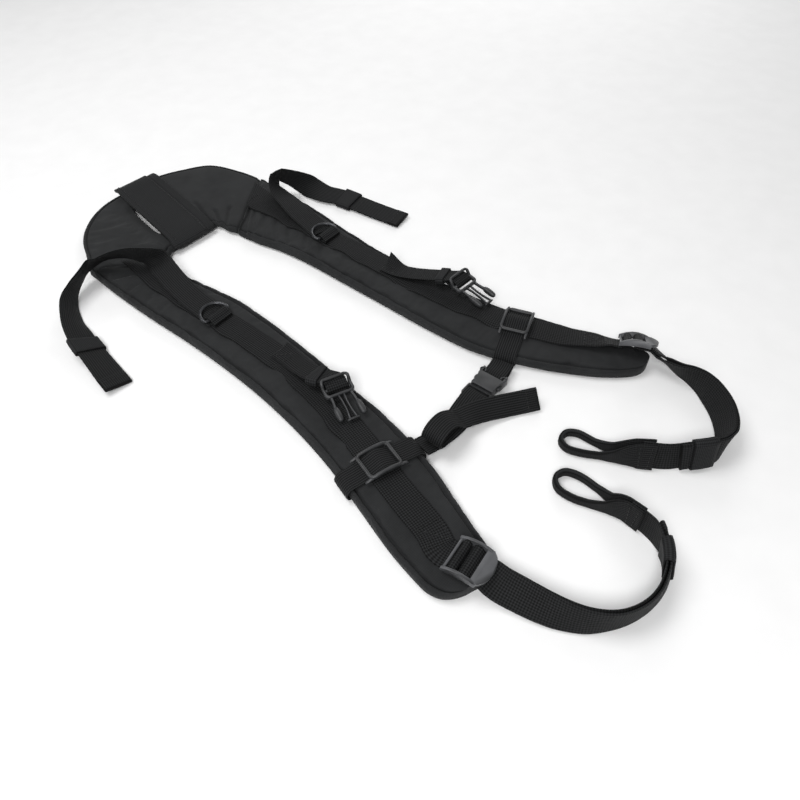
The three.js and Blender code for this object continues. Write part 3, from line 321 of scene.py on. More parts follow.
def spline(points, t, closed=False, kind="even"):
    """Points at shares t of a smooth curve through the given points.

    Between two points the curve is a cubic, w from 0 to 1, whose end slopes come from the neighbours
    (Catmull-Rom). Kind "root" weighs the slopes by the square roots of the distances, and kind "held" repeats
    the end points instead of extending past them."""
    p = np.asarray(points, float)
    count = len(p)
    place = np.asarray(t, float) * (count if closed else count - 1)
    i = np.clip(np.floor(place).astype(int), 0, count - 1 if closed else count - 2)
    w = (place - i)[:, None]
    if closed:
        a, b, c, d = (p[(i + k) % count] for k in (-1, 0, 1, 2))
    else:
        before, after = (p[0], p[-1]) if kind == "held" else (2 * p[0] - p[1], 2 * p[-1] - p[-2])
        longer = np.vstack([before, p, after])
        a, b, c, d = (longer[i + k] for k in (0, 1, 2, 3))
    if kind == "root":
        gaps = [np.sqrt(np.linalg.norm(v, axis=1, keepdims=True)) for v in (b - a, c - b, d - c)]
        g0, g1, g2 = (np.maximum(g, 1e-3) for g in gaps)
        out = g1 * ((b - a) / g0 - (c - a) / (g0 + g1) + (c - b) / g1)
        back = g1 * ((c - b) / g1 - (d - b) / (g1 + g2) + (d - c) / g2)
    else:
        out, back = (c - a) / 2, (d - b) / 2
    return b + out * w + (3 * (c - b) - 2 * out - back) * w**2 + (2 * (b - c) + out + back) * w**3


def run_lengths(line, closed=False):
    """The distance run at each point of a line, and back at the first point of a closed one."""
    line = np.vstack([line, line[:1]]) if closed else line
    return np.concatenate([[0.0], np.cumsum(np.linalg.norm(np.diff(line, axis=0), axis=1))])


def edges_of(rows):
    """The direction of a strap's edge from its turn about Z and its lean upwards, both in degrees."""
    turn, lean = np.radians(np.asarray(rows, float)[:, 3:5]).T
    return np.stack([np.cos(turn) * np.cos(lean), np.sin(turn) * np.cos(lean), np.sin(lean)], 1)


class Run:
    """A strap's run: middles, directions along, across (edge) and out (face), and the distance run, in mm."""

    def __init__(self, at, along, edge, share):
        self.at, self.along, self.share = at, along, share
        self.edge = unit(edge - along * (edge * along).sum(1, keepdims=True))
        self.face = np.cross(self.edge, along)
        self.dist = run_lengths(at)

    def part(self, keep):
        """Only the chosen stations."""
        return Run(self.at[keep], self.along[keep], self.edge[keep], self.share[keep])

    def moved(self, off):
        """The same run, moved out along its face."""
        return Run(self.at + self.face * off, self.along, self.edge, self.share)

    def rings(self, across, out):
        """A ring of points at each station, set off across and out from its middle."""
        return self.at[:, None] + self.edge[:, None] * across[..., None] + self.face[:, None] * out[..., None]


def run_along(rows, spacing=3.0, closed=False):
    """A run with even stations through rows of x, y, z, turn and lean."""
    rows = np.asarray(rows, float)
    fine = np.linspace(0, 1, 60 * len(rows))
    dist = run_lengths(spline(rows[:, :3], fine, closed, "root"))
    count = max(12, round(dist[-1] / spacing))
    share = np.interp(np.linspace(0, dist[-1], count + 1), dist, fine)
    share = share[:-1] if closed else share
    tiny = 1e-4
    ahead_of, behind = share + tiny, share - tiny
    if closed:
        ahead_of, behind = ahead_of % 1, behind % 1
    else:
        ahead_of, behind = np.minimum(ahead_of, 1), np.maximum(behind, 0)
    along = unit(spline(rows[:, :3], ahead_of, closed, "root") - spline(rows[:, :3], behind, closed, "root"))
    return Run(spline(rows[:, :3], share, closed, "root"), along, spline(edges_of(rows), share, closed), share)


# %% Skins from grids of points


def dress(piece, kind, body="harness", stands_for=()):
    """Gives a piece its finish, its body and the solids that it stands for."""
    piece.data.materials.clear()
    piece.data.materials.append(FINISHES[kind])
    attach(piece, body)
    if stands_for:
        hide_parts(*stands_for)
    return piece


def skin(name, grid, closed=False, across=None, along=None, paired=False):
    """A closed skin over rings of points, grid[ring, point], as an object at the origin.

    Each quad joins neighbouring points of neighbouring rings. An open row of rings gets a face at each end,
    or a strip of faces between the points over and under each other where the rings are paired. The signed
    volume says whether the faces point outwards, and turns them round if not. The UV map "weave" holds the
    distance across and along, in metres."""
    rings, count = grid.shape[:2]
    i = np.arange(rings if closed else rings - 1)[:, None]
    j = np.arange(count)[None, :]
    nxt, k = (i + 1) % rings, (j + 1) % count
    quads = np.stack([i * count + j, nxt * count + j, nxt * count + k, i * count + k], -1).reshape(-1, 4)
    u = np.arange(count + 1) * MM if across is None else across
    v = np.arange(rings + 1) * MM if along is None else along
    uv = np.stack(np.broadcast_arrays(u[j], v[i]) + np.broadcast_arrays(u[j], v[i + 1])
                  + np.broadcast_arrays(u[j + 1], v[i + 1]) + np.broadcast_arrays(u[j + 1], v[i]), -1)
    uv = uv.reshape(-1, 4, 2)
    points = metres(grid.reshape(-1, 3))
    ends = [] if closed else [np.arange(count), np.arange(count)[::-1] + (rings - 1) * count]
    middle = points.mean(0)
    a, b, c, d = (points[quads[:, n]] - middle for n in range(4))
    volume = (a * np.cross(b, c)).sum() + (a * np.cross(c, d)).sum()
    for end in ends:
        ring = points[end] - middle
        volume += (ring[0] * np.cross(ring[1:-1], ring[2:])).sum()
    if volume < 0:
        quads, uv, ends = quads[:, ::-1], uv[:, ::-1], [end[::-1] for end in ends]
    if paired:
        up, down = np.arange(count // 2 + 1), np.arange(count, count // 2 - 1, -1) % count
        strip = [(a, b, c, d) if a != d else (a, b, c) for a, b, c, d in zip(up, up[1:], down[1:], down)]
        strip = [face if face[1] != face[2] else (face[0], *face[2:]) for face in strip]
        ends = [end[list(face)] for end in ends for face in strip]
    flat_ends = np.zeros((sum(len(end) for end in ends), 2))
    mesh = bpy.data.meshes.new(name)
    mesh.from_pydata(points.tolist(), [], quads.tolist() + [end.tolist() for end in ends])
    layer = mesh.uv_layers.new(name="weave")
    layer.data.foreach_set("uv", np.concatenate([uv.reshape(-1, 2), flat_ends]).ravel())
    mesh.polygons.foreach_set("use_smooth", np.ones(len(mesh.polygons), bool))
    return add_object(name, mesh)


def soften(piece):
    """One subdivision, the same in the view and in the render."""
    subdivision = piece.modifiers.new("soft", "SUBSURF")
    subdivision.levels = subdivision.render_levels = 1
    return piece


# %% [markdown]
# ## The padded arms
# Each arm is foam in a cloth cover, sewn all round a few millimetres inside its edge. The cover's section is a
# short table of insets and heights: a flat underside, a round edge, a stitched groove and a low crown. It is
# carried from the yoke seam to the rounded end between two edge curves. Near the yoke the cover is gathered.
# A cloth simulation with a little pressure then swells the cover between its seams, as foam does.

# %% Arm tables
# Outer and inner edge of each arm, from the yoke seam down: outX, outY, inX, inY
PAD_ROWS = {
    "right": [
        (-112, 246, -48, 196),
        (-113, 205, -52, 172),
        (-112, 150, -48, 138),
        (-109, 95, -43, 92),
        (-108, 45, -43.5, 45),
        (-109.5, -5, -47, -6),
        (-115, -58, -52.5, -62),
        (-124, -106, -59.5, -114),
        (-137, -152, -71, -163),
        (-149, -196, -87, -208),
        (-157, -244, -107, -261),
    ],
    "left": [
        (116, 246, 31, 187),
        (117, 205, 34, 160),
        (113, 150, 41, 130),
        (108, 95, 45, 92),
        (104.5, 45, 46.5, 45),
        (105, -5, 48, -6),
        (110.5, -58, 49.5, -62),
        (118, -106, 54.5, -114),
        (131, -152, 70.5, -159),
        (143, -196, 93, -201),
        (153, -236, 119, -244),
    ],
}
PAD_THICK, PAD_END = 11.5, 26.0
# How the end narrows at the outer and at the inner edge: over how many mm, and to which share of the width
END_TAPER = {"right": ((26.0, 0.5), (26.0, 0.5)), "left": ((20.0, 0.3), (56.0, 0.7))}
YOKE_THICK = 9.5
# Half of the section, from the edge to the crown: inset in mm, share of the thickness on top, and underneath
SECTION = np.array([
    (0.0, 0.36, 0.36), (0.1, 0.56, 0.22), (0.8, 0.74, 0.14), (2.0, 0.86, 0.05), (3.2, 0.905, 0.015),
    (4.1, 0.88, 0.0), (4.9, 0.45, 0.0), (5.7, 0.87, 0.0), (7.2, 0.935, 0.0), (10.0, 0.965, 0.0),
    (13.5, 0.985, 0.0), (18.0, 1.0, 0.0),
])
GROOVE = 6
ARM_CROWN, YOKE_CROWN = 9, 34
# Gathers below the yoke seam: how far down in mm, share of the thickness
GATHERS = np.array([
    (0, 0.66), (3, 0.94), (10, 0.915), (19, 1.0), (30, 0.885), (41, 0.985), (54, 0.91), (68, 1.0), (84, 0.955),
    (102, 1.0), (600, 1.0),
])
# Short creases of the gathered cover: from x, y beside the rail to x, y near the edge, depth and width
ARM_CREASES = {
    "right": np.array([
        (-90.0, 207.0, -106.0, 214.0, 2.6, 2.0), (-92.0, 190.0, -108.0, 186.0, 2.8, 2.0),
        (-93.0, 166.0, -106.0, 158.0, 2.0, 2.0), (-93.0, 142.0, -107.0, 138.0, 1.7, 2.4),
        (-92.0, 112.0, -104.0, 104.0, 0.9, 3.2), (-58.0, 150.0, -50.0, 142.0, 1.4, 2.6),
        (-58.0, 128.0, -49.0, 118.0, 1.1, 3.0), (-57.0, 62.0, -47.0, 56.0, 0.8, 3.2),
        (-92.0, 40.0, -103.0, 32.0, 0.8, 3.4), (-96.0, -20.0, -107.0, -28.0, 0.7, 3.6),
    ]),
    "left": np.array([
        (62.0, 196.0, 40.0, 170.0, 2.8, 1.9), (64.0, 181.0, 42.0, 152.0, 2.8, 1.9),
        (66.0, 165.0, 46.0, 141.0, 2.8, 1.9), (68.0, 147.0, 50.0, 127.0, 2.4, 2.0),
        (70.0, 122.0, 52.0, 106.0, 1.9, 2.2), (70.0, 96.0, 52.0, 84.0, 1.4, 2.4),
        (71.0, 66.0, 53.0, 56.0, 0.8, 3.2), (96.0, 160.0, 108.0, 150.0, 1.2, 3.0),
        (73.0, 20.0, 55.0, 12.0, 0.7, 3.4), (76.0, -30.0, 58.0, -36.0, 0.7, 3.6),
    ]),
}
# Where the chest loops pass under the arms: x, y, heading of the slider above
SLIDERS = {"right": (-99.7, -137.0, -16.0), "left": (100.4, -125.6, 201.0)}
NOTCH_HALF, NOTCH_RAMP, NOTCH_DEEP = 30.0, 8.0, 2.5
# How far the gathers run down as they cross from the outer to the inner edge, in mm
GATHER_SLANT = {"right": 22.0, "left": 34.0}
GATHERED, SEAM_LONG = 0.35, 6.0  # they slant in this share of the arm, but not so near to the seam, in mm
ARM_RINGS, TIP_RINGS, TIP_SHARE, TIP_POWER = 240, 15, 0.997, 2.4


def eased(x, places, values):
    """Values between table places, eased by half a cosine wave so that no bend is sharp."""
    i = np.clip(np.searchsorted(places, x, "right") - 1, 0, len(places) - 2)
    w = np.clip((x - places[i]) / (places[i + 1] - places[i]), 0, 1)
    return values[i] + (values[i + 1] - values[i]) * (1 - np.cos(np.pi * w)) / 2


def creased(grid, lines):
    """How far each point sinks: the deepest of depth * exp(-(distance / width)^2) over all creases."""
    a, b = lines[:, :2], lines[:, 2:4]
    from_start = grid[:, :, None, :2] - a
    way = b - a
    w = np.clip((from_start * way).sum(-1) / (way * way).sum(-1), 0, 1)
    off = np.linalg.norm(from_start - w[..., None] * way, axis=-1)
    return (lines[:, 4] * np.exp(-((off / lines[:, 5]) ** 2))).max(-1)


# %% Cover skins


def cover_grid(outer, inner, thick, crown):
    """Rings of a padded cover: over the top from edge to edge, then back underneath at the same places.

    SECTION is set inwards from both edges, with even points between on the crown. A point is edge + inset *
    (unit vector across), and its height is share * thickness. Returns the grid in mm and, for each ring's
    points, how far across from the outer edge they lie, from 0 to 1."""
    width = np.linalg.norm(inner - outer, axis=1)[:, None]
    inwards = (inner - outer) / width
    inset = SECTION[:, 0] * np.minimum(1.0, width / 50)
    middle = inset[:, -1:] + (width - 2 * inset[:, -1:]) * np.linspace(0, 1, crown + 2)[1:-1]
    over = np.concatenate([inset, middle, (width - inset)[:, ::-1]], 1)
    places = np.concatenate([over, over[:, -2:0:-1]], 1)
    top, under = (np.concatenate([half, np.full(crown, half[-1]), half[::-1]]) for half in SECTION[:, 1:].T)
    rise = np.concatenate([top, under[-2:0:-1]])
    flat = outer[:, None] + inwards[:, None] * places[..., None]
    height = np.broadcast_to(rise * thick, places.shape)
    return np.concatenate([flat, height[..., None]], -1), places / width


def arm_grid(side):
    """The arm's rings from the yoke seam to its rounded end, with gathers and the room for the chest loop.

    Shares of the length are even up to the end, then close in; there both edges draw together by
    part * (1 - (1 - v^TIP_POWER)^(1 / TIP_POWER)), with v from 0 to 1 over the reach in END_TAPER."""
    rows = np.array(PAD_ROWS[side])
    edge = spline(rows[:, :2], np.linspace(0, 1, 400), kind="held")
    length = np.linalg.norm(np.diff(edge, axis=0), axis=1).sum()
    begin = 1 - PAD_END / length
    tip = begin + (1 - begin) * np.sin(np.linspace(0, 1, TIP_RINGS)[1:] * np.pi / 2) * TIP_SHARE
    share = np.concatenate([np.linspace(0, begin, ARM_RINGS), tip])
    outer, inner = (spline(rows[:, c:c + 2], share, kind="held") for c in (0, 2))
    narrow = []
    for reach, part in END_TAPER[side]:
        v = np.clip((share * length - length + reach) / reach, 0, 1)
        narrow.append(part * (1 - (1 - v**TIP_POWER) ** (1 / TIP_POWER))[:, None])
    outer, inner = outer + (inner - outer) * narrow[0], inner + (outer - inner) * narrow[1]
    grid, over = cover_grid(outer, inner, PAD_THICK, ARM_CROWN)
    straight = share[:, None] * length
    down = np.maximum(straight - GATHER_SLANT[side] * (over - 0.25) * (share[:, None] < GATHERED), 0)
    down = np.where(straight < SEAM_LONG, straight, down)
    grid[..., 2] *= eased(down, GATHERS[:, 0], GATHERS[:, 1])
    x, y, heading = SLIDERS[side]
    turn = math.radians(heading)
    off = np.abs((grid[..., 0] - x) * math.sin(turn) - (grid[..., 1] - y) * math.cos(turn))
    top = np.clip(grid[..., 2] / PAD_THICK, 0, 1) ** 3
    grid[..., 2] -= creased(grid, ARM_CREASES[side]) * top
    notch = NOTCH_DEEP * np.clip((NOTCH_HALF + NOTCH_RAMP - off) / NOTCH_RAMP, 0, 1)
    grid[..., 2] = np.maximum(grid[..., 2], notch)
    return grid


SWELL_CAP_MM, SWELL_PRESSURE, SWELL_GROW, SWELL_FRAMES = 1.2, 4.0, 0.01, 20


def swell(piece, held):
    """Swells a cover by cloth simulation: pressure from inside, no gravity, the held points pinned.

    Every point may move SWELL_CAP_MM at most, and never below the floor. The moved points are written back
    to the mesh and the simulation is removed."""
    pins = piece.vertex_groups.new(name="sewn")
    pins.add(np.flatnonzero(held.ravel()).tolist(), 1.0, "REPLACE")
    cloth = piece.modifiers.new("swell", "CLOTH")
    settings = cloth.settings
    settings.quality = 4
    settings.mass = 0.2
    settings.use_pressure = True
    settings.uniform_pressure_force = SWELL_PRESSURE
    settings.shrink_min = -SWELL_GROW
    settings.vertex_group_mass = "sewn"
    settings.effector_weights.gravity = 0.0
    cloth.collision_settings.use_collision = False
    cloth.point_cache.frame_start, cloth.point_cache.frame_end = 1, SWELL_FRAMES
    for step in range(1, SWELL_FRAMES + 1):
        bpy.context.scene.frame_set(step)
    moved = np.empty(len(piece.data.vertices) * 3)
    rest = np.empty_like(moved)
    shown = piece.evaluated_get(bpy.context.evaluated_depsgraph_get())
    shown.data.vertices.foreach_get("co", moved)
    piece.data.vertices.foreach_get("co", rest)
    move = (moved - rest).reshape(-1, 3)
    length = np.linalg.norm(move, axis=1, keepdims=True)
    move *= np.minimum(1, SWELL_CAP_MM * MM / np.maximum(length, 1e-9))
    final = rest.reshape(-1, 3) + move
    final[:, 2] = np.maximum(final[:, 2], 0.0)
    piece.modifiers.remove(cloth)
    piece.vertex_groups.remove(pins)
    piece.data.vertices.foreach_set("co", final.ravel())
    piece.data.update()
    bpy.context.scene.frame_set(1)
    return float(length.max() / MM)


# %% Arms
# The rail's middle line on each arm: x, y, up, lean
RAIL_ROWS = {
    "right": [
        (-73, 218, 0, 0),
        (-76.5, 170, 0, 0),
        (-76, 110, 0, 0),
        (-73, 50, 0, 0),
        (-73.5, 0, 0, 0),
        (-79, -50, 0, 0),
        (-93, -110, 0, 0),
        (-108, -162, 0, 0),
        (-119, -205, 0, 0),
    ],
    "left": [
        (76, 218, 0, 0),
        (79, 170, 0, 0),
        (83, 110, 0, 0),
        (84, 50, 0, 0),
        (85, 0, 0, 0),
        (88, -50, 0, 0),
        (97, -112, 0, 0),
        (113, -160, 0.2, 0),
        (128, -192, 2.2, 11),
    ],
}
RAIL_REACH = 17.0


def seam_points(grid):
    """Places of the two stitched grooves in a cover's rings."""
    return GROOVE, grid.shape[1] // 2 - GROOVE


def sewn_down(grid):
    """True for the edges, the underside, the seams and both ends of a cover, which don't swell."""
    held = np.zeros(grid.shape[:2], bool)
    held[:, grid.shape[1] // 2:] = True
    held[:, [0, *seam_points(grid)]] = True
    held[[0, -1]] = True
    return held


def near_line(grid, line, reach):
    """True for points whose place in plan is within reach of a row of points along a line."""
    line = spline(np.asarray(line, float)[:, :2], np.linspace(0, 1, 200))
    off = np.linalg.norm(grid[:, :, None, :2] - line[None, None], axis=-1)
    return off.min(-1) < reach


arms = {}
for side in BOTH:
    grid = arm_grid(side)
    arms[side] = grid
    piece = skin(side + "_arm_cover", grid, paired=True)
    held = sewn_down(grid) | near_line(grid, RAIL_ROWS[side], RAIL_REACH)
    reach = swell(piece, held)
    dress(soften(piece), "cover", stands_for=[side + "_pad"])
    reach = round(min(reach, SWELL_CAP_MM), 2)
    print(piece.name, len(piece.data.vertices), "points, swelled by at most", reach, "mm")

# %% [markdown]
# ## The yoke
# The yoke is the thinner padding behind the neck, in two halves that meet the arms at a sewn seam. The same
# section makes it. Where the wide band passes underneath, the halves are lifted by its thickness, and the right
# half draws back in a curve beside the band, which leaves the open slit. The creases are shallow valleys along
# short lines: the depth falls off as a bell curve of the distance from the line.

# %% Yoke tables
# Outer and inner edge of each yoke half, from the arm to the band: outX, outY, inX, inY
YOKE_ROWS = {
    "right": [
        (-112, 246.5, -47.8, 196.5),
        (-103, 266, -45, 203),
        (-86, 299, -42.5, 209),
        (-65, 321, -39, 212),
        (-38, 337, -35, 214),
        (-9, 342, -25, 214),
    ],
    "left": [
        (116, 246.5, 31, 187.5),
        (111, 277, 27, 199),
        (97, 314, 27, 208),
        (68, 332, 25, 214),
        (40, 342, 20, 219),
        (12, 342.6, 2, 219.6),
        (0, 342.6, -12, 219.6),
    ],
}
YOKE_RINGS = 96
BAND_LIFT, LIFT_FROM, LIFT_TO, LIFT_RAMP = 3.4, -46.0, 50.0, 6.0
UNDER_BAND = (-38.0, 42.0)  # the covers don't swell between these places
YOKE_LONG, SEAM_SINK, SEAM_WIDE = 110.0, 0.3, 3.0  # at the arm's seam a half thins by this share
# The open slit: middle x, y, half of its length, depth and heading
SLIT = (-14.4, 275.5, 40.0, 10.4, -7.2)
SLIT_SLOPE, SLIT_SINK = 6.0, 0.3  # beside the slit the cover slopes down by this share of its height
SLIT_FROM = 0.5  # the rings draw back from this share of the half on
# Creases in the yoke's covers: from x, y to x, y, depth and width
YOKE_CREASES = np.array([
    (33.0, 262.0, 21.0, 222.0, 2.6, 2.4),
    (52.0, 226.0, 29.0, 203.0, 3.2, 2.2),
    (38.0, 234.0, 25.0, 210.0, 2.6, 2.2),
    (60.0, 262.0, 46.0, 240.0, 0.7, 5.0),
    (-47.0, 222.0, -40.0, 216.0, 2.0, 2.6),
    (-56.0, 236.0, -44.0, 222.0, 1.2, 3.4),
    (-70.0, 252.0, -52.0, 222.0, 0.8, 5.0),
])


def yoke_grid(side):
    """The half's rings from the arm's seam to the band; ends of the right half draw back round the slit."""
    rows = np.array(YOKE_ROWS[side])
    share = np.linspace(0, 1, YOKE_RINGS)
    outer, inner = (spline(rows[:, c:c + 2], share, kind="held") for c in (0, 2))
    grid = cover_grid(outer, inner, YOKE_THICK, YOKE_CROWN)[0]
    if side == "right":
        x, y, half_long, deep, heading = SLIT
        turn = math.radians(heading)

        def over_slit(at):
            """How far past the slit's edge points lie, and how open it is there: 1 - (share of its half)^6."""
            to_end = (at[..., 1] - y) * math.cos(turn) - (at[..., 0] - x) * math.sin(turn)
            open_to = np.clip(1 - (to_end / half_long) ** 6, 0, 1)
            return at[..., 0] - (x - to_end * math.sin(turn) - deep * open_to), open_to

        ramp = np.clip((share[:, None] - SLIT_FROM) / (1 - SLIT_FROM), 0, 1)
        grid[..., 0] -= ramp**2 * (3 - 2 * ramp) * np.maximum(over_slit(grid[-1])[0], 0)
        past, open_to = over_slit(grid)
        grid[..., 2] *= 1 - SLIT_SINK * np.exp(-((past / SLIT_SLOPE) ** 2)) * open_to
    seam_off = share[:, None] * YOKE_LONG
    grid[..., 2] *= 1 - SEAM_SINK * np.exp(-((seam_off / SEAM_WIDE) ** 2))
    top = np.clip(grid[..., 2] / YOKE_THICK, 0, 1) ** 3
    grid[..., 2] -= creased(grid, YOKE_CREASES) * top
    rise, fall = ((grid[..., 0] - LIFT_FROM) / LIFT_RAMP, (LIFT_TO - grid[..., 0]) / LIFT_RAMP)
    grid[..., 2] = np.maximum(grid[..., 2], BAND_LIFT * np.clip(rise, 0, 1) * np.clip(fall, 0, 1))
    return grid


# %% Yoke halves
yokes = {}
for side in BOTH:
    grid = yoke_grid(side)
    yokes[side] = grid
    piece = skin(side + "_yoke_cover", grid, paired=True)
    swell(piece, sewn_down(grid) | (grid[..., 0] > UNDER_BAND[0]) & (grid[..., 0] < UNDER_BAND[1]))
    dress(soften(piece), "cover", stands_for=[side + "_yoke"])
    print(piece.name, len(piece.data.vertices), "points")

# %% [markdown]
# ## The band
# A wide band of tape wraps the yoke at its middle and joins the halves. It is a closed loop whose two edges
# each follow their own curve, and the tape's thickness is set off along the direction square to both.

# %% Band
# The band's path round the yoke: y, z, left, right
BAND_ROWS = [
    (340, 11.6, -16.2, 37.6),
    (310, 12.4, -20.2, 33.4),
    (280, 12.4, -24, 29.2),
    (250, 12.4, -27.8, 24.9),
    (222, 11.6, -31.5, 20.9),
    (212.5, 7.2, -32.6, 20.2),
    (217, 2.1, -14, 20.6),
    (250, 1.7, -9, 24.9),
    (310, 1.7, -1, 33.4),
    (343, 2.1, 3, 38.2),
    (349.5, 7.2, -15.4, 39),
]
BAND_WALL = 1.8
FAR_FOLD = (-14.8, -6.0, -12.4)
BAND_STRIP, BAND_HEM = 10.0, 7.0  # single layer along the right edge, folded hem along the left one
FOLD_RISE, HEM_RISE, GROOVE_SINK = 1.2, 0.5, 0.8
BAND_RINGS, BAND_POINTS = 180, 61
ROUND = np.radians(np.arange(60, -61, -30))


def tape_profile(wide, thick, count=15):
    """A tape's section, one row for each station: flat faces joined by half-round edges.

    A point is core * (wide / 2 - r) + arc * r across and rise * r out, with r half of the thickness."""
    flat = np.linspace(-1, 1, count)
    core = np.concatenate([flat, np.ones(len(ROUND)), -flat, -np.ones(len(ROUND))])
    arc = np.concatenate([0 * flat, np.cos(ROUND), 0 * flat, -np.cos(ROUND)])
    rise = np.concatenate([0 * flat + 1, np.sin(ROUND), 0 * flat - 1, -np.sin(ROUND)])
    r = np.asarray(thick, float)[..., None] / 2
    return core * (np.asarray(wide, float)[..., None] / 2 - r) + arc * r, rise * r


def ring_lengths(across, out):
    """Distance round the section of the widest station, closed, in metres, for the UV map."""
    return run_lengths(np.stack([across, out], -1), True) * MM


rows = np.array(BAND_ROWS)
rows[[0, 9, 10], 2] = FAR_FOLD  # at the far fold the cloth's left edge keeps nearer to the yoke's
share = np.arange(BAND_RINGS) / BAND_RINGS
left_edge, right_edge = (spline(rows[:, [c, 0, 1]], share, True, "root") for c in (2, 3))
middle = (left_edge + right_edge) / 2
ahead_of = spline(rows[:, [3, 0, 1]], (share + 1e-4) % 1, True, "root")
along = unit(ahead_of - right_edge)
off = unit(np.cross([1.0, 0.0, 0.0], along))
wide = np.linalg.norm(right_edge - left_edge, axis=1)
across, out = tape_profile(wide, np.full(len(wide), BAND_WALL), BAND_POINTS)
from_right, from_left = wide[:, None] / 2 - across, wide[:, None] / 2 + across
folded = FOLD_RISE * np.clip(from_right - BAND_STRIP, 0, 1) + HEM_RISE * np.clip(BAND_HEM - from_left, 0, 1)
groove = GROOVE_SINK * np.exp(-(((from_right - BAND_STRIP + 0.4) / 0.9) ** 2))
upper = np.clip(-2 * off[:, 2:], 0, 1)  # the hems are on the run that lies on top
out = np.where(out < 0, out + upper * (groove - folded), out)
edge = unit(right_edge - left_edge)
grid = middle[:, None] + edge[:, None] * across[..., None] + off[:, None] * out[..., None]
run = run_lengths(middle, True)
band = skin("yoke_band_tape", grid, True, ring_lengths(across[0], out[0]), run * MM)
dress(band, "elastic", stands_for=["yoke_band"])
print(band.name, "runs", round(run[-1]), "mm round the yoke")

# %% [markdown]
# ## Webbing
# All straps are nylon webbing: one section carried along a run. A hem is a stretch near the end where the
# webbing is folded double. No part of a strap may dip below the floor, so low stations are lifted. The
# rails' outer edges aren't sewn down and ripple a little, which is a wave that grows towards the edge.

# %% Webbing skins
WEBBING, NARROW, STRIP, TAB = (25.0, 1.6), (20.0, 1.5), (19.0, 1.4), (22.0, 1.2)
GAP, WRAP, HEM = 0.35, 0.3, 12.0
FLOOR_GAP, SLANT_FADE = 0.1, 32.0
HEM_FOLD = 1.35  # what a folded hem adds to a strap, in thicknesses: the fold is a little puffed
RAIL_MIDDLE, RAIL_TOP = 12.65, 13.45


def rested(run, wide, thick):
    """Lifts the stations whose lowest corner would come below the floor."""
    low = run.at[:, 2] - np.abs(run.edge[:, 2]) * wide / 2 - np.abs(run.face[:, 2]) * thick / 2
    run.at[:, 2] += np.maximum(0, FLOOR_GAP - low)
    return run


def webbing(name, run, size, closed=False, hem=0.0, ripple=None, slant=0.0, kind="webbing", stands_for=None):
    """A strap's skin: the tape section at each station, doubled along the hem, rippled where asked.

    A slant cuts the start askew: each point moves along by slant times its place across, less and less."""
    wide, thick = (np.broadcast_to(np.asarray(s, float), run.dist.shape) for s in size)
    if hem:
        to_end = run.dist[-1] - run.dist
        thick = thick * (1 + HEM_FOLD * np.clip((hem - to_end) / 0.8 + 1, 0, 1))
    run = rested(run, wide, thick)
    across, out = tape_profile(wide, thick)
    if ripple:
        aside, rise = ripple(run.dist[:, None], across / (wide[:, None] / 2))
        across, out = across + aside, out + rise
    ask = slant * across * np.clip(1 - run.dist[:, None] / SLANT_FADE, 0, 1)
    grid = run.rings(across, out) + run.along[:, None] * ask[..., None]
    widest = int(np.argmax(wide))
    dist = np.append(run.dist, run.dist[-1] + (np.linalg.norm(run.at[0] - run.at[-1]) if closed else 1.0))
    piece = skin(name, grid, closed, ring_lengths(across[widest], out[widest]), dist * MM)
    return dress(piece, kind, stands_for=stands_for)


def turning(heading, tilt=0.0, roll=0.0):
    """The matrix that tilts about X, then rolls about Y, then turns to a heading about Z, in degrees."""
    h, t, r = (math.radians(a) for a in (heading, tilt, roll))
    about_z = np.array([[math.cos(h), -math.sin(h), 0], [math.sin(h), math.cos(h), 0], [0, 0, 1]])
    about_x = np.array([[1, 0, 0], [0, math.cos(t), -math.sin(t)], [0, math.sin(t), math.cos(t)]])
    about_y = np.array([[math.cos(r), 0, math.sin(r)], [0, 1, 0], [-math.sin(r), 0, math.cos(r)]])
    return about_z @ about_y @ about_x


def placed(points, place, z, tilt=0.0, roll=0.0, turned=False):
    """Rows for points (y, z) of a fitting's own frame, turned to its place."""
    x, y, heading = place
    turn = turning(heading, tilt, roll)
    at = np.insert(np.asarray(points, float), 0, 0.0, 1) @ turn.T + [x, y, z]
    edge = turn @ [-1.0 if turned else 1.0, 0, 0]
    angles = [math.degrees(math.atan2(edge[1], edge[0])), math.degrees(math.asin(edge[2]))]
    return np.hstack([at, np.broadcast_to(angles, (len(at), 2))])


# %% Rails and lower straps
# Ladder locks: x, y, heading, lift over the rail, roll
LOCKS = {"right": (-124.5, -229.5, 188.0, 0.0, 0.0), "left": (138.0, -211.5, 204.0, 3.0, -28.0)}
SEWN_BAR, STRAP_BAR = (4.9, 4.6, 1.4), (14.0, 5.0, 1.6)
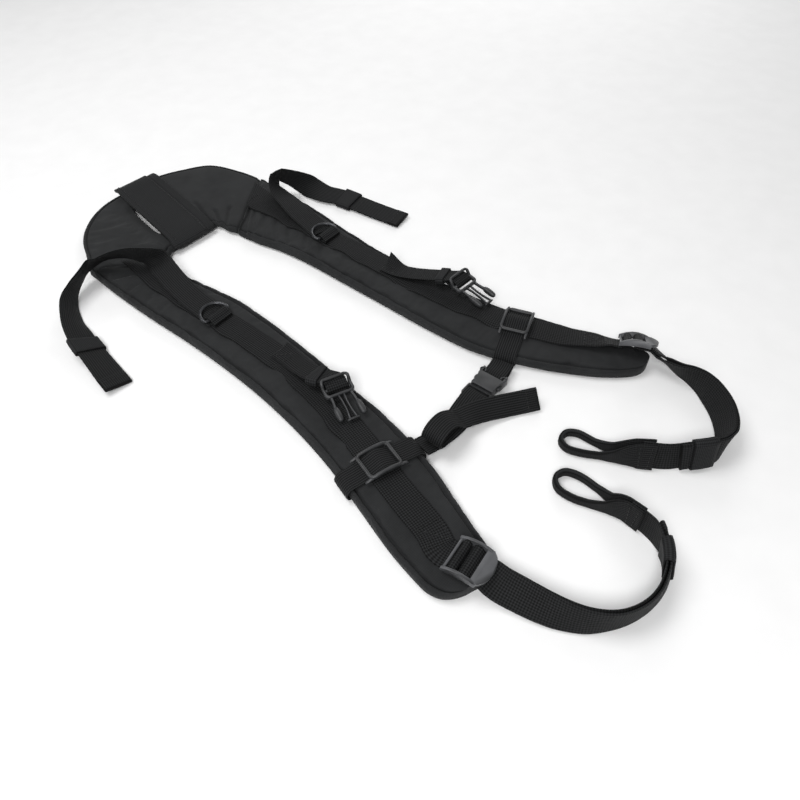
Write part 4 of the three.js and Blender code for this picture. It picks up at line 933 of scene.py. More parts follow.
# The middle of each doubled lower strap: x, y, z, turn, lean, apart
STRAP_ROWS = {
    "right": [
        (-120, -266, 12.6, 3, 28, 2.5),
        (-117.5, -280, 11.8, 3, 42, 2.5),
        (-114.5, -295, 11.6, 6, 54, 2.5),
        (-110.5, -310, 12.2, 14, 67, 2.5),
        (-103.3, -325, 12.7, 60, 78, 2.5),
        (-92, -337.3, 12.7, 140, 74, 2.5),
        (-79.5, -345, 12.2, 160, 67, 2.5),
        (-65.8, -349.3, 11.8, 170, 61, 2.5),
        (-51.2, -350.2, 12.8, 174, 60, 2.5),
        (-38.7, -347.6, 15.2, 166, 70, 2.5),
        (-28.3, -342.5, 15.4, 150, 76, 2.5),
        (-21.3, -336, 15.2, 135, 81, 2.5),
        (-14.8, -324.8, 13.6, 100, 88, 2.5),
        (-12.2, -315.3, 13.1, 95, 90, 2.5),
        (-11.4, -303, 13.1, 80, 90, 2.5),
    ],
    "left": [
        (149, -244, 13.4, 204, 32, 3.2),
        (148, -254, 12.4, 200, 46, 3.4),
        (146, -265, 12.6, 196, 60, 3),
        (146, -276, 13, 210, 74, 2.5),
        (144.4, -286, 12.9, 260, 84, 2.5),
        (139.1, -297, 12.8, 299, 73, 2.5),
        (132, -307.3, 12.4, 290, 67, 2.5),
        (123.3, -316, 12.2, 280, 64, 2.5),
        (112, -323.5, 12.2, 262, 63, 2.5),
        (101.1, -328, 12.6, 236, 65, 2.5),
        (89, -329.6, 13.6, 173, 78, 2.5),
        (79.9, -326.6, 14.9, 105, 77, 2.5),
        (72.1, -321.2, 15, 94, 74, 2.5),
        (64, -314.2, 14.9, 88, 73, 2.5),
        (53.2, -301.5, 12.6, 79, 71, 2.5),
        (41.5, -283.7, 12.6, 76, 71, 2.5),
    ],
}
# Rows that are doubled, and the tail's tip: x, y, z, turn, lean
TAILS = {"right": (12, (-12.4, -328.0, 14.4, 115.0, 84.0)), "left": (14, (57.4, -309.4, 14.2, 84.0, 72.0))}


def offset_rows(rows, off):
    """Rows moved out along their strap's face, square to the edge and to the way between neighbours."""
    rows = np.array(rows, float)
    i = np.arange(len(rows))
    way = rows[np.minimum(i + 1, len(rows) - 1), :3] - rows[np.maximum(i - 1, 0), :3]
    face = unit(np.cross(edges_of(rows), unit(way)))
    rows[:, :3] += face * np.reshape(off, (-1, 1))
    return rows


# Which way a rail's face and its freer edge point, how much wider the other edge starts, and how far the start
# is cut askew along the yoke's seam
RAIL_SIGNS = {"right": (1, -1, 0.0, 0.78), "left": (-1, 1, 15.0, 0.69)}
FLARE_LONG = 50.0
# Waves of a rail's freer and other edge: length over 2 pi in mm, phase and weight
FREE_WAVES = ((8.5, 0.0, 1.0), (5.1, 1.0, 0.6), (19.0, 2.0, 0.7))
OTHER_WAVES = ((11.0, 2.0, 1.0), (6.1, 0.0, 0.7))
RIPPLE_FROM, RIPPLE_TO = 20.0, 330.0  # ripples grow up to the first distance and fade past the second


def waves(dist, table):
    """The sum of weight * sin(distance / length + phase) over a table of waves."""
    return sum(weight * np.sin(dist / length + phase) for length, phase, weight in table)


def rail_ripple(face, free, flare):
    """Free edges of a rail rise and sway in slow, uneven waves; the middle stays sewn down."""

    def at(dist, share):
        freer, other = waves(dist, FREE_WAVES), waves(dist, OTHER_WAVES)
        edge = np.abs(share) ** 3 * np.clip(dist / RIPPLE_FROM, 0, 1) * (1 - 0.8 * (dist > RIPPLE_TO))
        rise = np.where(share * free > 0, 1.1 * np.maximum(freer + 0.4, 0), 0.4 * np.maximum(other, 0))
        sway = np.where(share * free > 0, 0.9 * freer, 0.3 * other)
        wider = flare * np.clip(1 - dist / FLARE_LONG, 0, 1) * np.maximum(-share * free, 0)
        return edge * sway - free * wider, face * edge * rise

    return at


runs = {}
for side in BOTH:
    x, y, heading, up, roll = LOCKS[side]
    across = 0.0 if side == "right" else 180.0
    in_lock = dict(place=(x, y, heading), z=RAIL_TOP + up, roll=roll, turned=side == "right")
    bar_y, bar_z, bar_r = SEWN_BAR
    round_bar = bar_r + GAP + WRAP + WEBBING[1] / 2
    end = placed([(-9, -0.8), (-1, -0.7), (1.8, 1), (bar_y - round_bar, bar_z), (bar_y, bar_z + round_bar),
                  (bar_y + round_bar, bar_z), (bar_y + round_bar - 0.3, bar_z - 2)], **in_lock)
    line = np.array(RAIL_ROWS[side])
    start = np.column_stack([line[:, :2], RAIL_MIDDLE + line[:, 2], np.full(len(line), across), line[:, 3]])
    runs[side + "_rail"] = run_along(np.vstack([start, end]))
    webbing(side + "_rail_web", runs[side + "_rail"], WEBBING, ripple=rail_ripple(*RAIL_SIGNS[side][:3]),
            slant=RAIL_SIGNS[side][3], stands_for=[side + "_rail"])

    bar_y, bar_z, bar_r = STRAP_BAR
    over = bar_r + GAP + WRAP + WEBBING[1] / 2
    main_end = placed([(24.5, 0.7), (19, 0.8), (14, 0.85), (11, 1.9), (bar_y - over - 0.8, 4.2),
                       (bar_y - over * 0.75, bar_z + over * 0.72), (bar_y, bar_z + over)], **in_lock)
    tail_start = placed([(bar_y + over * 0.8, bar_z + over * 0.62), (17.5, 4.7), (19.2, 3.2), (24.5, 3.1)],
                        **in_lock)
    outward = -1 if side == "right" else 1
    doubled, tip = TAILS[side]
    table = np.array(STRAP_ROWS[side])
    apart = outward * table[:, 5] / 2
    single = np.arange(len(table)) >= doubled
    main = offset_rows(table[:, :5], np.where(single, 0, -apart))
    tail = offset_rows(table[:, :5], apart)[:doubled]
    rows = np.vstack([main[::-1], main_end, tail_start, tail, [tip]])
    runs[side + "_strap"] = run_along(rows)
    webbing(side + "_strap_web", runs[side + "_strap"], WEBBING, hem=HEM / 2, stands_for=[side + "_strap"])
    print(side, "rail", round(runs[side + "_rail"].dist[-1]), "mm, lower strap",
          round(runs[side + "_strap"].dist[-1]), "mm")

# %% Lifter straps and end loops
# The lifter straps: x, y, z, turn, lean
LIFTER_ROWS = {
    "right": [
        (-75, 92.8, 14.6, 3, 0),
        (-74.5, 120, 14.8, -4, 0),
        (-71, 152, 15.1, -14, 1),
        (-65.8, 180, 16.4, -10, 5),
        (-64, 191.6, 18.8, 0, 12),
        (-69.5, 197.3, 25.8, -57, 49),
        (-78.5, 203.7, 29.7, -108, 65),
        (-86.8, 214.6, 29.4, -151, 55),
        (-94.9, 224.9, 26.5, -151, 44),
        (-103.8, 233.4, 22.9, -132, 42),
        (-115.5, 236.5, 20.4, -99, 60),
        (-127, 232.5, 16.6, -113, 58),
        (-141.5, 223.5, 13.4, -135, 51),
        (-153.5, 211, 11, -148, 45),
        (-163.5, 192.5, 10.4, -152, 38),
        (-170.3, 171, 9.6, -160, 24),
        (-174, 154, 8.8, -164, 20),
        (-176.4, 136, 7.4, -166, 17),
        (-179.5, 112, 4.4, -169, 9),
        (-182, 93, 3.6, -171, 8),
    ],
    "left": [
        (81.8, 108.8, 14.6, 182, 0),
        (85.5, 126, 14.9, 174, 0),
        (87.6, 147.7, 18.6, 170, 0),
        (92.3, 168.8, 19.8, 166, 9),
        (97.3, 187, 19.5, 163, 19),
        (102.7, 200.9, 21.2, 166, 39),
        (107, 208.8, 24.4, 194, 61),
        (114.1, 209.1, 27.9, 252, 58),
        (121.5, 204.6, 24.5, 280, 53),
        (129.8, 199.6, 18.8, 299, 55),
        (136.6, 193.2, 12.6, 334, 56),
        (141.1, 183.7, 8.2, 10, 29),
        (144.7, 169.5, 6, 19, 12),
        (152.6, 152, 4.9, 19, 8),
        (156.5, 132, 4.2, 14, 5),
        (161.5, 100, 3.4, 11, 5),
        (166.4, 71, 3.2, 11, 5),
    ],
}
# The end loops: x, y, z, wide, thick, lean
LOOP_ROWS = {
    "right": [
        (-14.3, -314, 12.9, 25, 1.7, 90),
        (-13.7, -301.5, 12.7, 24.6, 1.7, 90),
        (-15.4, -288, 7, 13, 3, 90),
        (-19.3, -275.5, 4.4, 8.2, 4, 90),
        (-23.3, -262, 4.4, 8.2, 4, 90),
        (-22.4, -250.4, 4.4, 8.2, 4, 90),
        (-15, -244.2, 4.4, 8.2, 4, 90),
        (-6.4, -246.6, 4.4, 8.2, 4, 90),
        (-2.2, -257, 4.4, 8.2, 4, 90),
        (-2.8, -274, 4.4, 8.2, 4, 90),
        (-6, -288, 7, 13, 3, 90),
        (-9.1, -301.5, 12.7, 24.6, 1.7, 90),
        (-9.9, -314, 12.9, 25, 1.7, 90),
    ],
    "left": [
        (45, -294.2, 13.1, 25, 1.7, 71),
        (37.2, -283.1, 12.8, 24.6, 1.7, 73),
        (30.2, -269, 7, 13, 3, 82),
        (25.5, -259, 4.4, 8.2, 4, 90),
        (18, -246, 4.4, 8.2, 4, 90),
        (14.6, -234.8, 4.4, 8.2, 4, 90),
        (18.5, -227.4, 4.4, 8.2, 4, 90),
        (27.3, -226.6, 4.4, 8.2, 4, 90),
        (33.2, -233.4, 4.4, 8.2, 4, 90),
        (35, -250, 4.4, 8.2, 4, 90),
        (36.8, -264, 7, 13, 3, 82),
        (42, -279.7, 12.5, 24.6, 1.7, 73),
        (49.7, -290.9, 12.5, 25, 1.7, 71),
    ],
}
LOOP_TURN = {"right": 90.0, "left": 76.0}

for side in BOTH:
    runs[side + "_lifter"] = run_along(LIFTER_ROWS[side])
    webbing(side + "_lifter_web", runs[side + "_lifter"], WEBBING, hem=HEM, kind="chest",
            stands_for=[side + "_lifter"])
    table = np.array(LOOP_ROWS[side])
    turned = np.column_stack([table[:, :3], np.full(len(table), LOOP_TURN[side]), table[:, 5]])
    loop = run_along(turned, 2.0)
    shares = np.linspace(0, 1, len(table))
    size = [np.interp(loop.share, shares, table[:, c]) for c in (3, 4)]
    runs[side + "_loop"] = loop
    webbing(side + "_loop_web", loop, size, kind="chest", stands_for=[side + "_loop"])
    print(side, "lifter", round(runs[side + "_lifter"].dist[-1]), "mm, end loop", round(loop.dist[-1]), "mm")

# %% Chest loops round the arms
ON_PAD = GAP + NARROW[1] / 2 + PAD_THICK - RAIL_TOP
BELOW = NARROW[1] / 2 + 0.3 - RAIL_TOP
# Round an arm's edge: how far past the edge, and the height over the rail
ROUND_EDGE = np.array([(-9.0, ON_PAD + 0.2), (-0.6, 11.9 - RAIL_TOP), (2.4, 8.4 - RAIL_TOP),
                       (2.7, 4.8 - RAIL_TOP), (1.2, 1.7 - RAIL_TOP), (-5.0, BELOW)])
THROUGH = np.array([(-17.5, 0.2), (-13, 1.15), (-7, 3.4), (0, 5.75), (7, 3.4), (13, 1.15), (17.5, 0.2)])


def reach_to(line, start, way):
    """How far along a direction a line in plan lies: the reach of its point nearest to that direction."""
    points = spline(line, np.linspace(0, 1, 401), kind="held") - start
    off = np.abs(points[:, 0] * way[1] - points[:, 1] * way[0])
    return float(points[np.argmin(off)] @ way)


for side in BOTH:
    x, y, heading = SLIDERS[side]
    way = np.array([math.cos(math.radians(heading)), math.sin(math.radians(heading))])
    edges = np.array(PAD_ROWS[side])
    to_outer, to_inner = (reach_to(edges[:, c:c + 2], np.array([x, y]), way) for c in (0, 2))
    inside = ROUND_EDGE + [to_inner, 0]
    outside = (ROUND_EDGE * [-1, 1] + [to_outer, 0])[::-1]
    if outside[-1, 0] > THROUGH[0, 0] - 2:
        outside = outside[:-1]
    beneath = np.array([(to_inner * 0.4, BELOW), (to_outer * 0.4, BELOW)])
    path = np.vstack([THROUGH, inside, beneath, outside])
    runs[side + "_chest_loop"] = run_along(placed(path, (x, y, heading - 90), RAIL_TOP), 2.5, True)
    webbing(side + "_chest_loop_web", runs[side + "_chest_loop"], NARROW, True, kind="chest",
            stands_for=[side + "_chest_loop"])

# %% Chest strap
BUCKLE, BUCKLE_Z = (18.5, -147.0, -87.0), 6.4
PLUG_FRAME, PLUG_BAR, PLUG_THICK = 13.8, 1.3, 3.4
CHEST_ROOT = 2.4  # the strap starts this much nearer to the loop round the arm, which it is sewn to
SOCKET_BAR, SOCKET_SLOT_END, SOCKET_BAR_THICK = 21.5, 20.0, 2.6
# The chest strap out to the plug: x, y, z, turn, lean
CHEST_OUT_ROWS = [
    (-61.8, -149.6, 8.4, 94, 0),
    (-45, -152.4, 6.2, 92, 0),
    (-25, -152.6, 4.2, 88, 0),
    (-6, -149.4, 3, 88, 0),
]
# The chest strap back over itself to its tail: x, y, z, turn, lean
CHEST_BACK_ROWS = [
    (-6, -149.4, 9.6, 88, 0),
    (-25, -152.6, 9, 88, 0),
    (-42, -153.6, 9.6, 90, 0),
    (-53.5, -154.6, 11.8, 90, 0),
    (-59, -155.4, 16.5, 90, 0),
    (-57.5, -155.6, 22, 90, 0),
    (-50, -155.4, 25.8, 89, 2),
    (-40, -155.4, 25.4, 84, 3),
    (-30.5, -156, 19.5, 76, 4),
    (-23, -156.4, 13, 70, 6),
    (-14, -159.2, 12, 66, 16),
    (-2, -164, 10.6, 58, 28),
    (12, -171.5, 9, 52, 35),
    (27, -180.6, 8, 46, 39),
    (40.8, -189.6, 7.7, 42, 40),
]
# The left chest strap: x, y, z, turn, lean
LEFT_CHEST_ROWS = [
    (57.4, -142.2, 5.6, 104, 0),
    (48, -144.6, 4.4, 99, 0),
    (48, -144.6, 8.4, 99, 0),
    (57.4, -142.2, 7.9, 104, 0),
]
bar = -PLUG_FRAME / 2
reach = PLUG_BAR + GAP + WRAP + NARROW[1] / 2
past = PLUG_THICK / 2 + 0.5 + GAP + NARROW[1] / 2
fold = placed([(1 - PLUG_FRAME, -past), (bar, -reach), (bar + reach, 0), (bar, reach), (1 - PLUG_FRAME, past)],
              BUCKLE, BUCKLE_Z, turned=True)
first = np.array(CHEST_OUT_ROWS[:1], float)
first[0, :3] -= unit(np.subtract(CHEST_OUT_ROWS[1], CHEST_OUT_ROWS[0])[:3]) * CHEST_ROOT
runs["chest_strap"] = run_along(np.vstack([first, CHEST_OUT_ROWS[1:], fold, CHEST_BACK_ROWS]), 2.5)
webbing("chest_strap_web", runs["chest_strap"], NARROW, hem=HEM, kind="chest", stands_for=["chest_strap"])

reach = SOCKET_BAR_THICK / 2 + 2 * GAP + WRAP + NARROW[1] / 2
in_slot = SOCKET_SLOT_END - 2 * GAP - NARROW[1] / 2
fold = placed([(SOCKET_BAR - 0.8, -reach), (in_slot + 0.3, 1.7 - reach), (in_slot, 0),
               (in_slot + 0.3, reach - 1.7), (SOCKET_BAR - 0.8, reach)], BUCKLE, BUCKLE_Z, turned=True)
runs["left_chest_strap"] = run_along(np.vstack([LEFT_CHEST_ROWS[:2], fold, LEFT_CHEST_ROWS[2:]]), 1.5)
webbing("left_chest_strap_web", runs["left_chest_strap"], NARROW, kind="chest", stands_for=["left_chest_strap"])
print("chest strap", round(runs["chest_strap"].dist[-1]), "mm")

# %% Ring tabs and clip strips
# Rings: x, y, heading.  Clips: x, y, heading, height, nose
RINGS = {"right": (-75.0, 87.8, 4.0), "left": (81.6, 102.0, 3.0)}
CLIPS = {"right": (-71.5, -68.5, 158.0, 19.6, -7.0), "left": (105.5, -64.5, 178.0, 21.2, -9.0)}
WIRE, RING_INSIDE, RING_DEPTH, RING_TILT = 3.2, 24.6, 16.0, 5.0
# Points of a ring's bar and of the bends that lead into its bow: x, y
RING_BAR = [(-11.5, 0), (-6, 0), (0, 0), (6, 0), (11.5, 0), (13.5, 0.9)]
RING_POINTS = 120
TAB_LONG, TAB_PLAY = 8.5, 0.4
CLIP_FRAME, CLIP_BAR, CLIP_THICK = 13.5, 1.3, 3.4
# The short strips that carry the clips: x, y, z, turn, lean
STRIP_ROWS = {
    "right": [
        (-67, 12, 14.55, 0, 0),
        (-68, -4, 15.1, 0, 0),
        (-70, -18, 17.2, 0, 0),
        (-71, -30, 19.8, 0, 0),
        (-70.6, -40, 21.9, 0, 0),
        (-68.7, -46, 22.9, -15, 0),
    ],
    "left": [
        (84.5, 22, 14.55, 0, 0),
        (85.5, 8, 15.1, 0, 0),
        (89.5, -6, 16.4, 0, 0),
        (94.6, -20, 18.8, 0, 0),
        (100.2, -34, 21.8, 0, 0),
        (103.4, -44, 24.4, 0, 0),
    ],
}
# The start of a strip: how far its free corner stands up, and over which length
STRIP_CORNER, CORNER_LONG = {"right": 2.2, "left": 8.0}, 22.0


def strip_start(side):
    """The strip's first end stands up towards one corner.

    The rise is height * (share left to CORNER_LONG)^1.2 * (share across + 0.15)^2."""

    def at(dist, share):
        near_end = np.clip(1 - dist / CORNER_LONG, 0, 1) ** 1.2
        return 0 * share, -STRIP_CORNER[side] * near_end * np.clip(share + 0.15, 0, None) ** 2

    return at


RING_Z = RAIL_TOP + GAP + TAB[1] + TAB_PLAY + WIRE / 2

for side in BOTH:
    reach = WIRE / 2 + TAB_PLAY + TAB[1] / 2
    upper = -reach + TAB[1] + GAP
    bow = [(reach * math.cos(a), reach * math.sin(a)) for a in np.radians([-45, 0, 45])]
    tab = [(-TAB_LONG, -reach), (-TAB_LONG / 2, -reach), (0, -reach), *bow, (0, reach),
           (-TAB_LONG * 0.35, reach * 0.75), (-TAB_LONG * 0.75, upper + 0.6), (-TAB_LONG, upper)]
    runs[side + "_ring_tab"] = run_along(placed(tab, RINGS[side], RING_Z), 1.0)
    webbing(side + "_ring_tab_web", runs[side + "_ring_tab"], TAB, stands_for=[side + "_ring_tab"])

    x, y, heading, z, nose = CLIPS[side]
    bar = -CLIP_FRAME / 2
    reach = CLIP_BAR + GAP + WRAP + STRIP[1] / 2
    past = CLIP_THICK / 2 + 0.5 + GAP + WRAP + STRIP[1] / 2
    over = [(0.5 - CLIP_FRAME, past), (bar - 1.8, reach + 0.3), (bar, reach)]
    under = [(along_y, -up) for along_y, up in over[::-1]]
    fold = placed([*over, (bar + reach, 0), *under], (x, y, heading), z, tilt=nose, turned=True)
    upper = np.array(STRIP_ROWS[side])
    apart = STRIP[1] + 2 * GAP
    lower = offset_rows(np.vstack([upper, fold[:1]]), np.full(len(upper) + 1, apart))[-3:-1][::-1]
    runs[side + "_strip"] = run_along(np.vstack([upper, fold, lower]), 1.5)
    runs[side + "_strip_top"] = run_along(np.vstack([upper, fold[:1]]), 1.0)
    webbing(side + "_clip_strip_web", runs[side + "_strip"], STRIP, ripple=strip_start(side),
            stands_for=[side + "_clip_strip"])
print("ring tabs and clip strips made")

# %% [markdown]
# ## Keepers and sleeves
# Short loops of woven tape hold a strap's layers together. Each is a tube along the strap's own run: rings of
# an outer section forwards, then rings of the inner section backwards, joined into one closed skin.

# %% Keepers and sleeves
KEEPER_WALL, KEEPER_LONG, KEEPER_PLAY = 1.3, 21.0, 1.1
KEEPER_BULGE, KEEPER_SQUARE = 0.35, 1.25  # the second presses a keeper's round edges flatter
SLEEVE_LONG, SLEEVE_PLAY = 9.0, 1.3
DOUBLE = 2.5


def near(run, place, length):
    """The stretch of a run within half a length of its station nearest a place in plan."""
    first = int(np.argmin(np.linalg.norm(run.at[:, :2] - place, axis=1)))
    return run.part(np.abs(run.dist - run.dist[first]) <= length / 2)


def keeper(name, run, wide, thick, stands_for):
    """A tube of tape round a run: its outer section bulges a little between its ends, as folded tape does."""
    count = len(run.dist)
    bulge = KEEPER_BULGE * np.sin(np.linspace(0, np.pi, count)) ** 0.5
    sections = []
    for grow, order in ((2 * KEEPER_WALL, slice(None)), (0.0, slice(None, None, -1))):
        high = np.full(count, thick + grow) + (bulge if grow else 0)
        across, out = tape_profile(np.full(count, wide + grow), high * 0.98)
        flat = high[:, None] / 2
        square = np.sign(out) * flat * np.minimum(1, np.abs(out) / flat * KEEPER_SQUARE)
        sections.append(run.rings(across, square)[order])
    grid = np.concatenate(sections)
    dist = np.concatenate([run.dist, run.dist[::-1], [0.0]]) * MM
    piece = skin(name, grid, True, ring_lengths(across[0], out[0]), dist)
    return dress(piece, "elastic", stands_for=[stands_for])


LIFTER_KEEPERS = {"right": (-174.5, 153.0), "left": (156.0, 141.0)}
STRAP_KEEPERS = {"right": (-29.5, -343.0), "left": (71.0, -320.6)}
SLEEVES = {"right": (-70.2, -40.4), "left": (101.4, -37.0)}
for side in BOTH:
    held = near(runs[side + "_lifter"], LIFTER_KEEPERS[side], KEEPER_LONG)
    keeper(side + "_lifter_keeper_tape", held, WEBBING[0] + KEEPER_PLAY, WEBBING[1] + KEEPER_PLAY,
           side + "_lifter_keeper")
    strap = runs[side + "_strap"]
    outward = -1 if side == "right" else 1
    main = near(strap.part(strap.share < 0.33), STRAP_KEEPERS[side], KEEPER_LONG).moved(-outward * DOUBLE / 2)
    keeper(side + "_strap_keeper_tape", main, WEBBING[0] + KEEPER_PLAY, DOUBLE + WEBBING[1] + KEEPER_PLAY,
           side + "_strap_keeper")
    apart = STRIP[1] + 2 * GAP
    held = near(runs[side + "_strip_top"], SLEEVES[side], SLEEVE_LONG).moved(apart / 2)
    keeper(side + "_clip_sleeve_tape", held, STRIP[0] + SLEEVE_PLAY, apart + STRIP[1] + SLEEVE_PLAY,
           side + "_clip_sleeve")
print("keepers and sleeves made")

# %% [markdown]
# ## D-rings
# A D-ring is bent wire: a straight bar with a bow. A circle is carried round a closed curve through a few
# points of the bar and the bow. Each ring rides on its own body, because it swings on its bar.

# %% D-rings
ANGLE = np.arange(16) / 16 * 2 * np.pi  # round any section of wire or moulded bar


def wire_ring(name, place, body, stands_for):
    """The bar lies along the fitting's X axis and the bow is half a circle; the wire is a circle round that."""
    half_wide = (RING_INSIDE + WIRE) / 2
    straight = RING_DEPTH - half_wide
    bow = np.radians(np.linspace(6, 174, 13))
    arc = np.column_stack([half_wide * np.cos(bow), straight + half_wide * np.sin(bow)])
    middle = np.vstack([RING_BAR, arc, [(-13.5, 0.9)]])
    t = np.arange(RING_POINTS) / RING_POINTS
    flat = spline(middle, t, True, "root")
    way = unit(spline(middle, (t + 1e-3) % 1, True, "root") - flat)
    side = np.stack([way[:, 1], -way[:, 0]], 1)
    plan = flat[:, None] + side[:, None] * (np.cos(ANGLE) * WIRE / 2)[None, :, None]
    high = np.broadcast_to(np.sin(ANGLE) * WIRE / 2, plan.shape[:2])
    grid = np.concatenate([plan, high[..., None]], -1) @ turning(place[2], RING_TILT).T
    grid += [place[0], place[1], RING_Z]
    return dress(skin(name, grid, True), "wire", body, [stands_for])


for side in BOTH:
    wire_ring(side + "_wire_ring", RINGS[side], side + "_d_ring", side + "_ring")
print("rings made, each on its own body")

# %% [markdown]
# ## Moulded fittings
# The locks and the chest buckle keep the shape of their solids. A copy of each solid is merged, its edges are
# rounded by a Bevel, and faces that meet at a small angle are shaded as one.

# %% Fittings
ROUNDING_MM = {"lock": 0.45, "plug": 0.35, "socket": 0.5}
SHARP = math.radians(32)


def rounded_copy(name, source, rounding_mm):
    """A merged copy of a solid whose sharp edges are rounded by two short faces."""
    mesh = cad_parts[source].data.copy()
    work = bmesh.new()
    work.from_mesh(mesh)
    bmesh.ops.remove_doubles(work, verts=work.verts, dist=0.005 * MM)
    bmesh.ops.dissolve_limit(work, angle_limit=math.radians(1), verts=work.verts, edges=work.edges)
    for face in work.faces:
        face.smooth = True
    work.to_mesh(mesh)
    work.free()
    mesh.name = name
    piece = add_object(name, mesh)
    bevel = piece.modifiers.new("rounding", "BEVEL")
    bevel.width, bevel.segments = rounding_mm * MM, 2
    bevel.limit_method, bevel.angle_limit = "ANGLE", SHARP
    bevel.harden_normals = True
    bevel.use_clamp_overlap = True
    return piece


for source in sorted(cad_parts):
    kind = source.split("_")[-1]
    if kind in ROUNDING_MM:
        dress(rounded_copy(source + "_moulding", source, ROUNDING_MM[kind]), "plastic", stands_for=[source])
print("fittings:", sum(n.split("_")[-1] in ROUNDING_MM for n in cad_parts))

# %% [markdown]
# The sliders and the clips are rounder than their solids. They could be sculpted, but each is only a few bars,
# so a rounded section is carried along a line for every bar, and the thumb pads are rounded lumps. The bars of
# one fitting are joined into one mesh in the fitting's own frame and then turned into place.

# %% Bars and lumps
POWER = 2.6  # of the superellipse: 2 is an ellipse, more is squarer
WIDE, HIGH = (np.sign(f) * np.abs(f) ** (2 / POWER) for f in (np.cos(ANGLE), np.sin(ANGLE)))
AXIS_Z = np.array([0.0, 0.0, 1.0])


def bar_along(rows, closed=False):
    """Rings of a rounded section along rows of x, y, z, half width and half height."""
    rows = np.asarray(rows, float)
    at = rows[:, :3]
    way = np.roll(at, -1, 0) - np.roll(at, 1, 0) if closed else np.gradient(at, axis=0)
    side = unit(np.cross(way, AXIS_Z))
    up = np.cross(side, unit(way))
    return (at[:, None] + side[:, None] * (rows[:, 3:4] * WIDE)[..., None]
            + up[:, None] * (rows[:, 4:5] * HIGH)[..., None])


def lump(x, y, z, a, b, c):
    """A rounded block: sections along Y whose size is (1 - |t|^POWER)^(1 / POWER)."""
    t = np.linspace(-0.999, 0.999, 17)[:, None]
    size = (1 - np.abs(t) ** POWER) ** (1 / POWER)
    return np.stack(np.broadcast_arrays(x + a * size * WIDE, y + b * t, z + c * size * HIGH), -1)


def rounded_loop(half, y0, y1, radius):
    """Even points round a rectangle with rounded corners, about 1.2 mm apart."""
    turn = np.radians(np.linspace(0, 90, 7))
    corners = []
    for quarter, (x, y) in enumerate(((1, 1), (-1, 1), (-1, 0), (1, 0))):
        middle = np.array([x * (half - radius), y1 - radius if y else y0 + radius])
        angle = turn + quarter * np.pi / 2
        corners.append(middle + radius * np.stack([np.cos(angle), np.sin(angle)], 1))
    line = np.vstack(corners + [corners[0][:1]])
    dist = run_lengths(line)
    even = np.linspace(0, dist[-1], round(dist[-1] / 1.2) + 1)[:-1]
    return np.stack([np.interp(even, dist, line[:, k]) for k in (0, 1)], 1)


def moulding(name, grids, place, z, tilt=0.0, stands_for=()):
    """Joins bars and lumps of a fitting's own frame into one piece, tilted about X, headed and moved there."""
    turn = turning(place[2], tilt)
    work = bmesh.new()
    for grid, closed in grids:
        part = skin(name + "_part", grid @ turn.T + [place[0], place[1], z], closed)
        work.from_mesh(part.data)
        bpy.data.objects.remove(part)
    mesh = bpy.data.meshes.new(name)
    work.to_mesh(mesh)
    work.free()
    return dress(add_object(name, mesh), "plastic", stands_for=stands_for)


# %% Sliders and clips
SLIDER_HALF, SLIDER_END, SLIDER_BEND = 12.0, 13.6, 3.6
# Bars on one side of a fitting: x, y, z, half width, half height
FOOT = [(11.8, 11.0, 3.4, 1.3, 1.3), (11.8, 14.5, 2.6, 1.3, 1.2), (11.8, 17.5, 1.7, 1.2, 1.0),
        (11.8, 19.0, 1.3, 0.7, 0.6)]
PRONG = [(8.9, -0.5, 0.0, 1.2, 1.6), (9.0, 4.0, 0.0, 1.1, 1.6), (9.5, 9.0, 0.0, 1.1, 1.6),
         (10.0, 13.5, 0.2, 1.3, 1.8)]
GUIDE = [(2.6, -0.5, 0.0, 0.8, 1.4), (1.8, 8.0, 0.0, 0.7, 1.3), (1.9, 17.0, 0.0, 0.7, 1.3),
         (3.0, 26.0, 0.0, 0.8, 1.3)]
# Rounded frame of a clip: half width, y from, y to, corner.  Lumps: x, y, z and half sizes along each axis
CLIP_LOOP = (11.9, -14.4, 0.4, 3.0)
THUMB_PAD, SIDE_PAD = (10.0, 18.6, 0.4, 2.7, 7.4, 2.7), (11.0, 10.4, 0.0, 2.4, 2.9, 2.1)
CLIP_NOSE = (0.0, 26.8, 0.0, 5.4, 1.1, 1.3)
HOOK_X, HOOK_Y, HOOK_Z, HOOK_R, HOOK_POINTS = 10.4, 18.6, 3.9, 2.3, 14


def mirrored(rows, x=1, y=1):
    """A bar from rows whose x and y are each multiplied by 1 or -1; it isn't closed."""
    return bar_along(np.array(rows) * [x, y, 1, 1, 1]), False


def cross_bar(half, y, z, thick):
    """A straight round bar across a fitting."""
    return bar_along([(x, y, z, thick, thick) for x in (-half, 0.0, half)]), False


def slider_bars():
    """A rounded frame that arches up over the webbing, four feet past its corners, and the middle bar."""
    plan = rounded_loop(SLIDER_HALF, -SLIDER_END, SLIDER_END, SLIDER_BEND)
    low = (plan[:, 1] / SLIDER_END) ** 2
    frame_rows = np.column_stack([plan, 4.8 - 1.1 * low, 1.65 - 0.1 * low, 2.3 - 1.0 * low])
    feet = [mirrored(FOOT, x, y) for x in (-1, 1) for y in (-1, 1)]
    return [(bar_along(frame_rows, True), True), *feet, cross_bar(SLIDER_HALF, 0.0, 3.0, 1.4)]


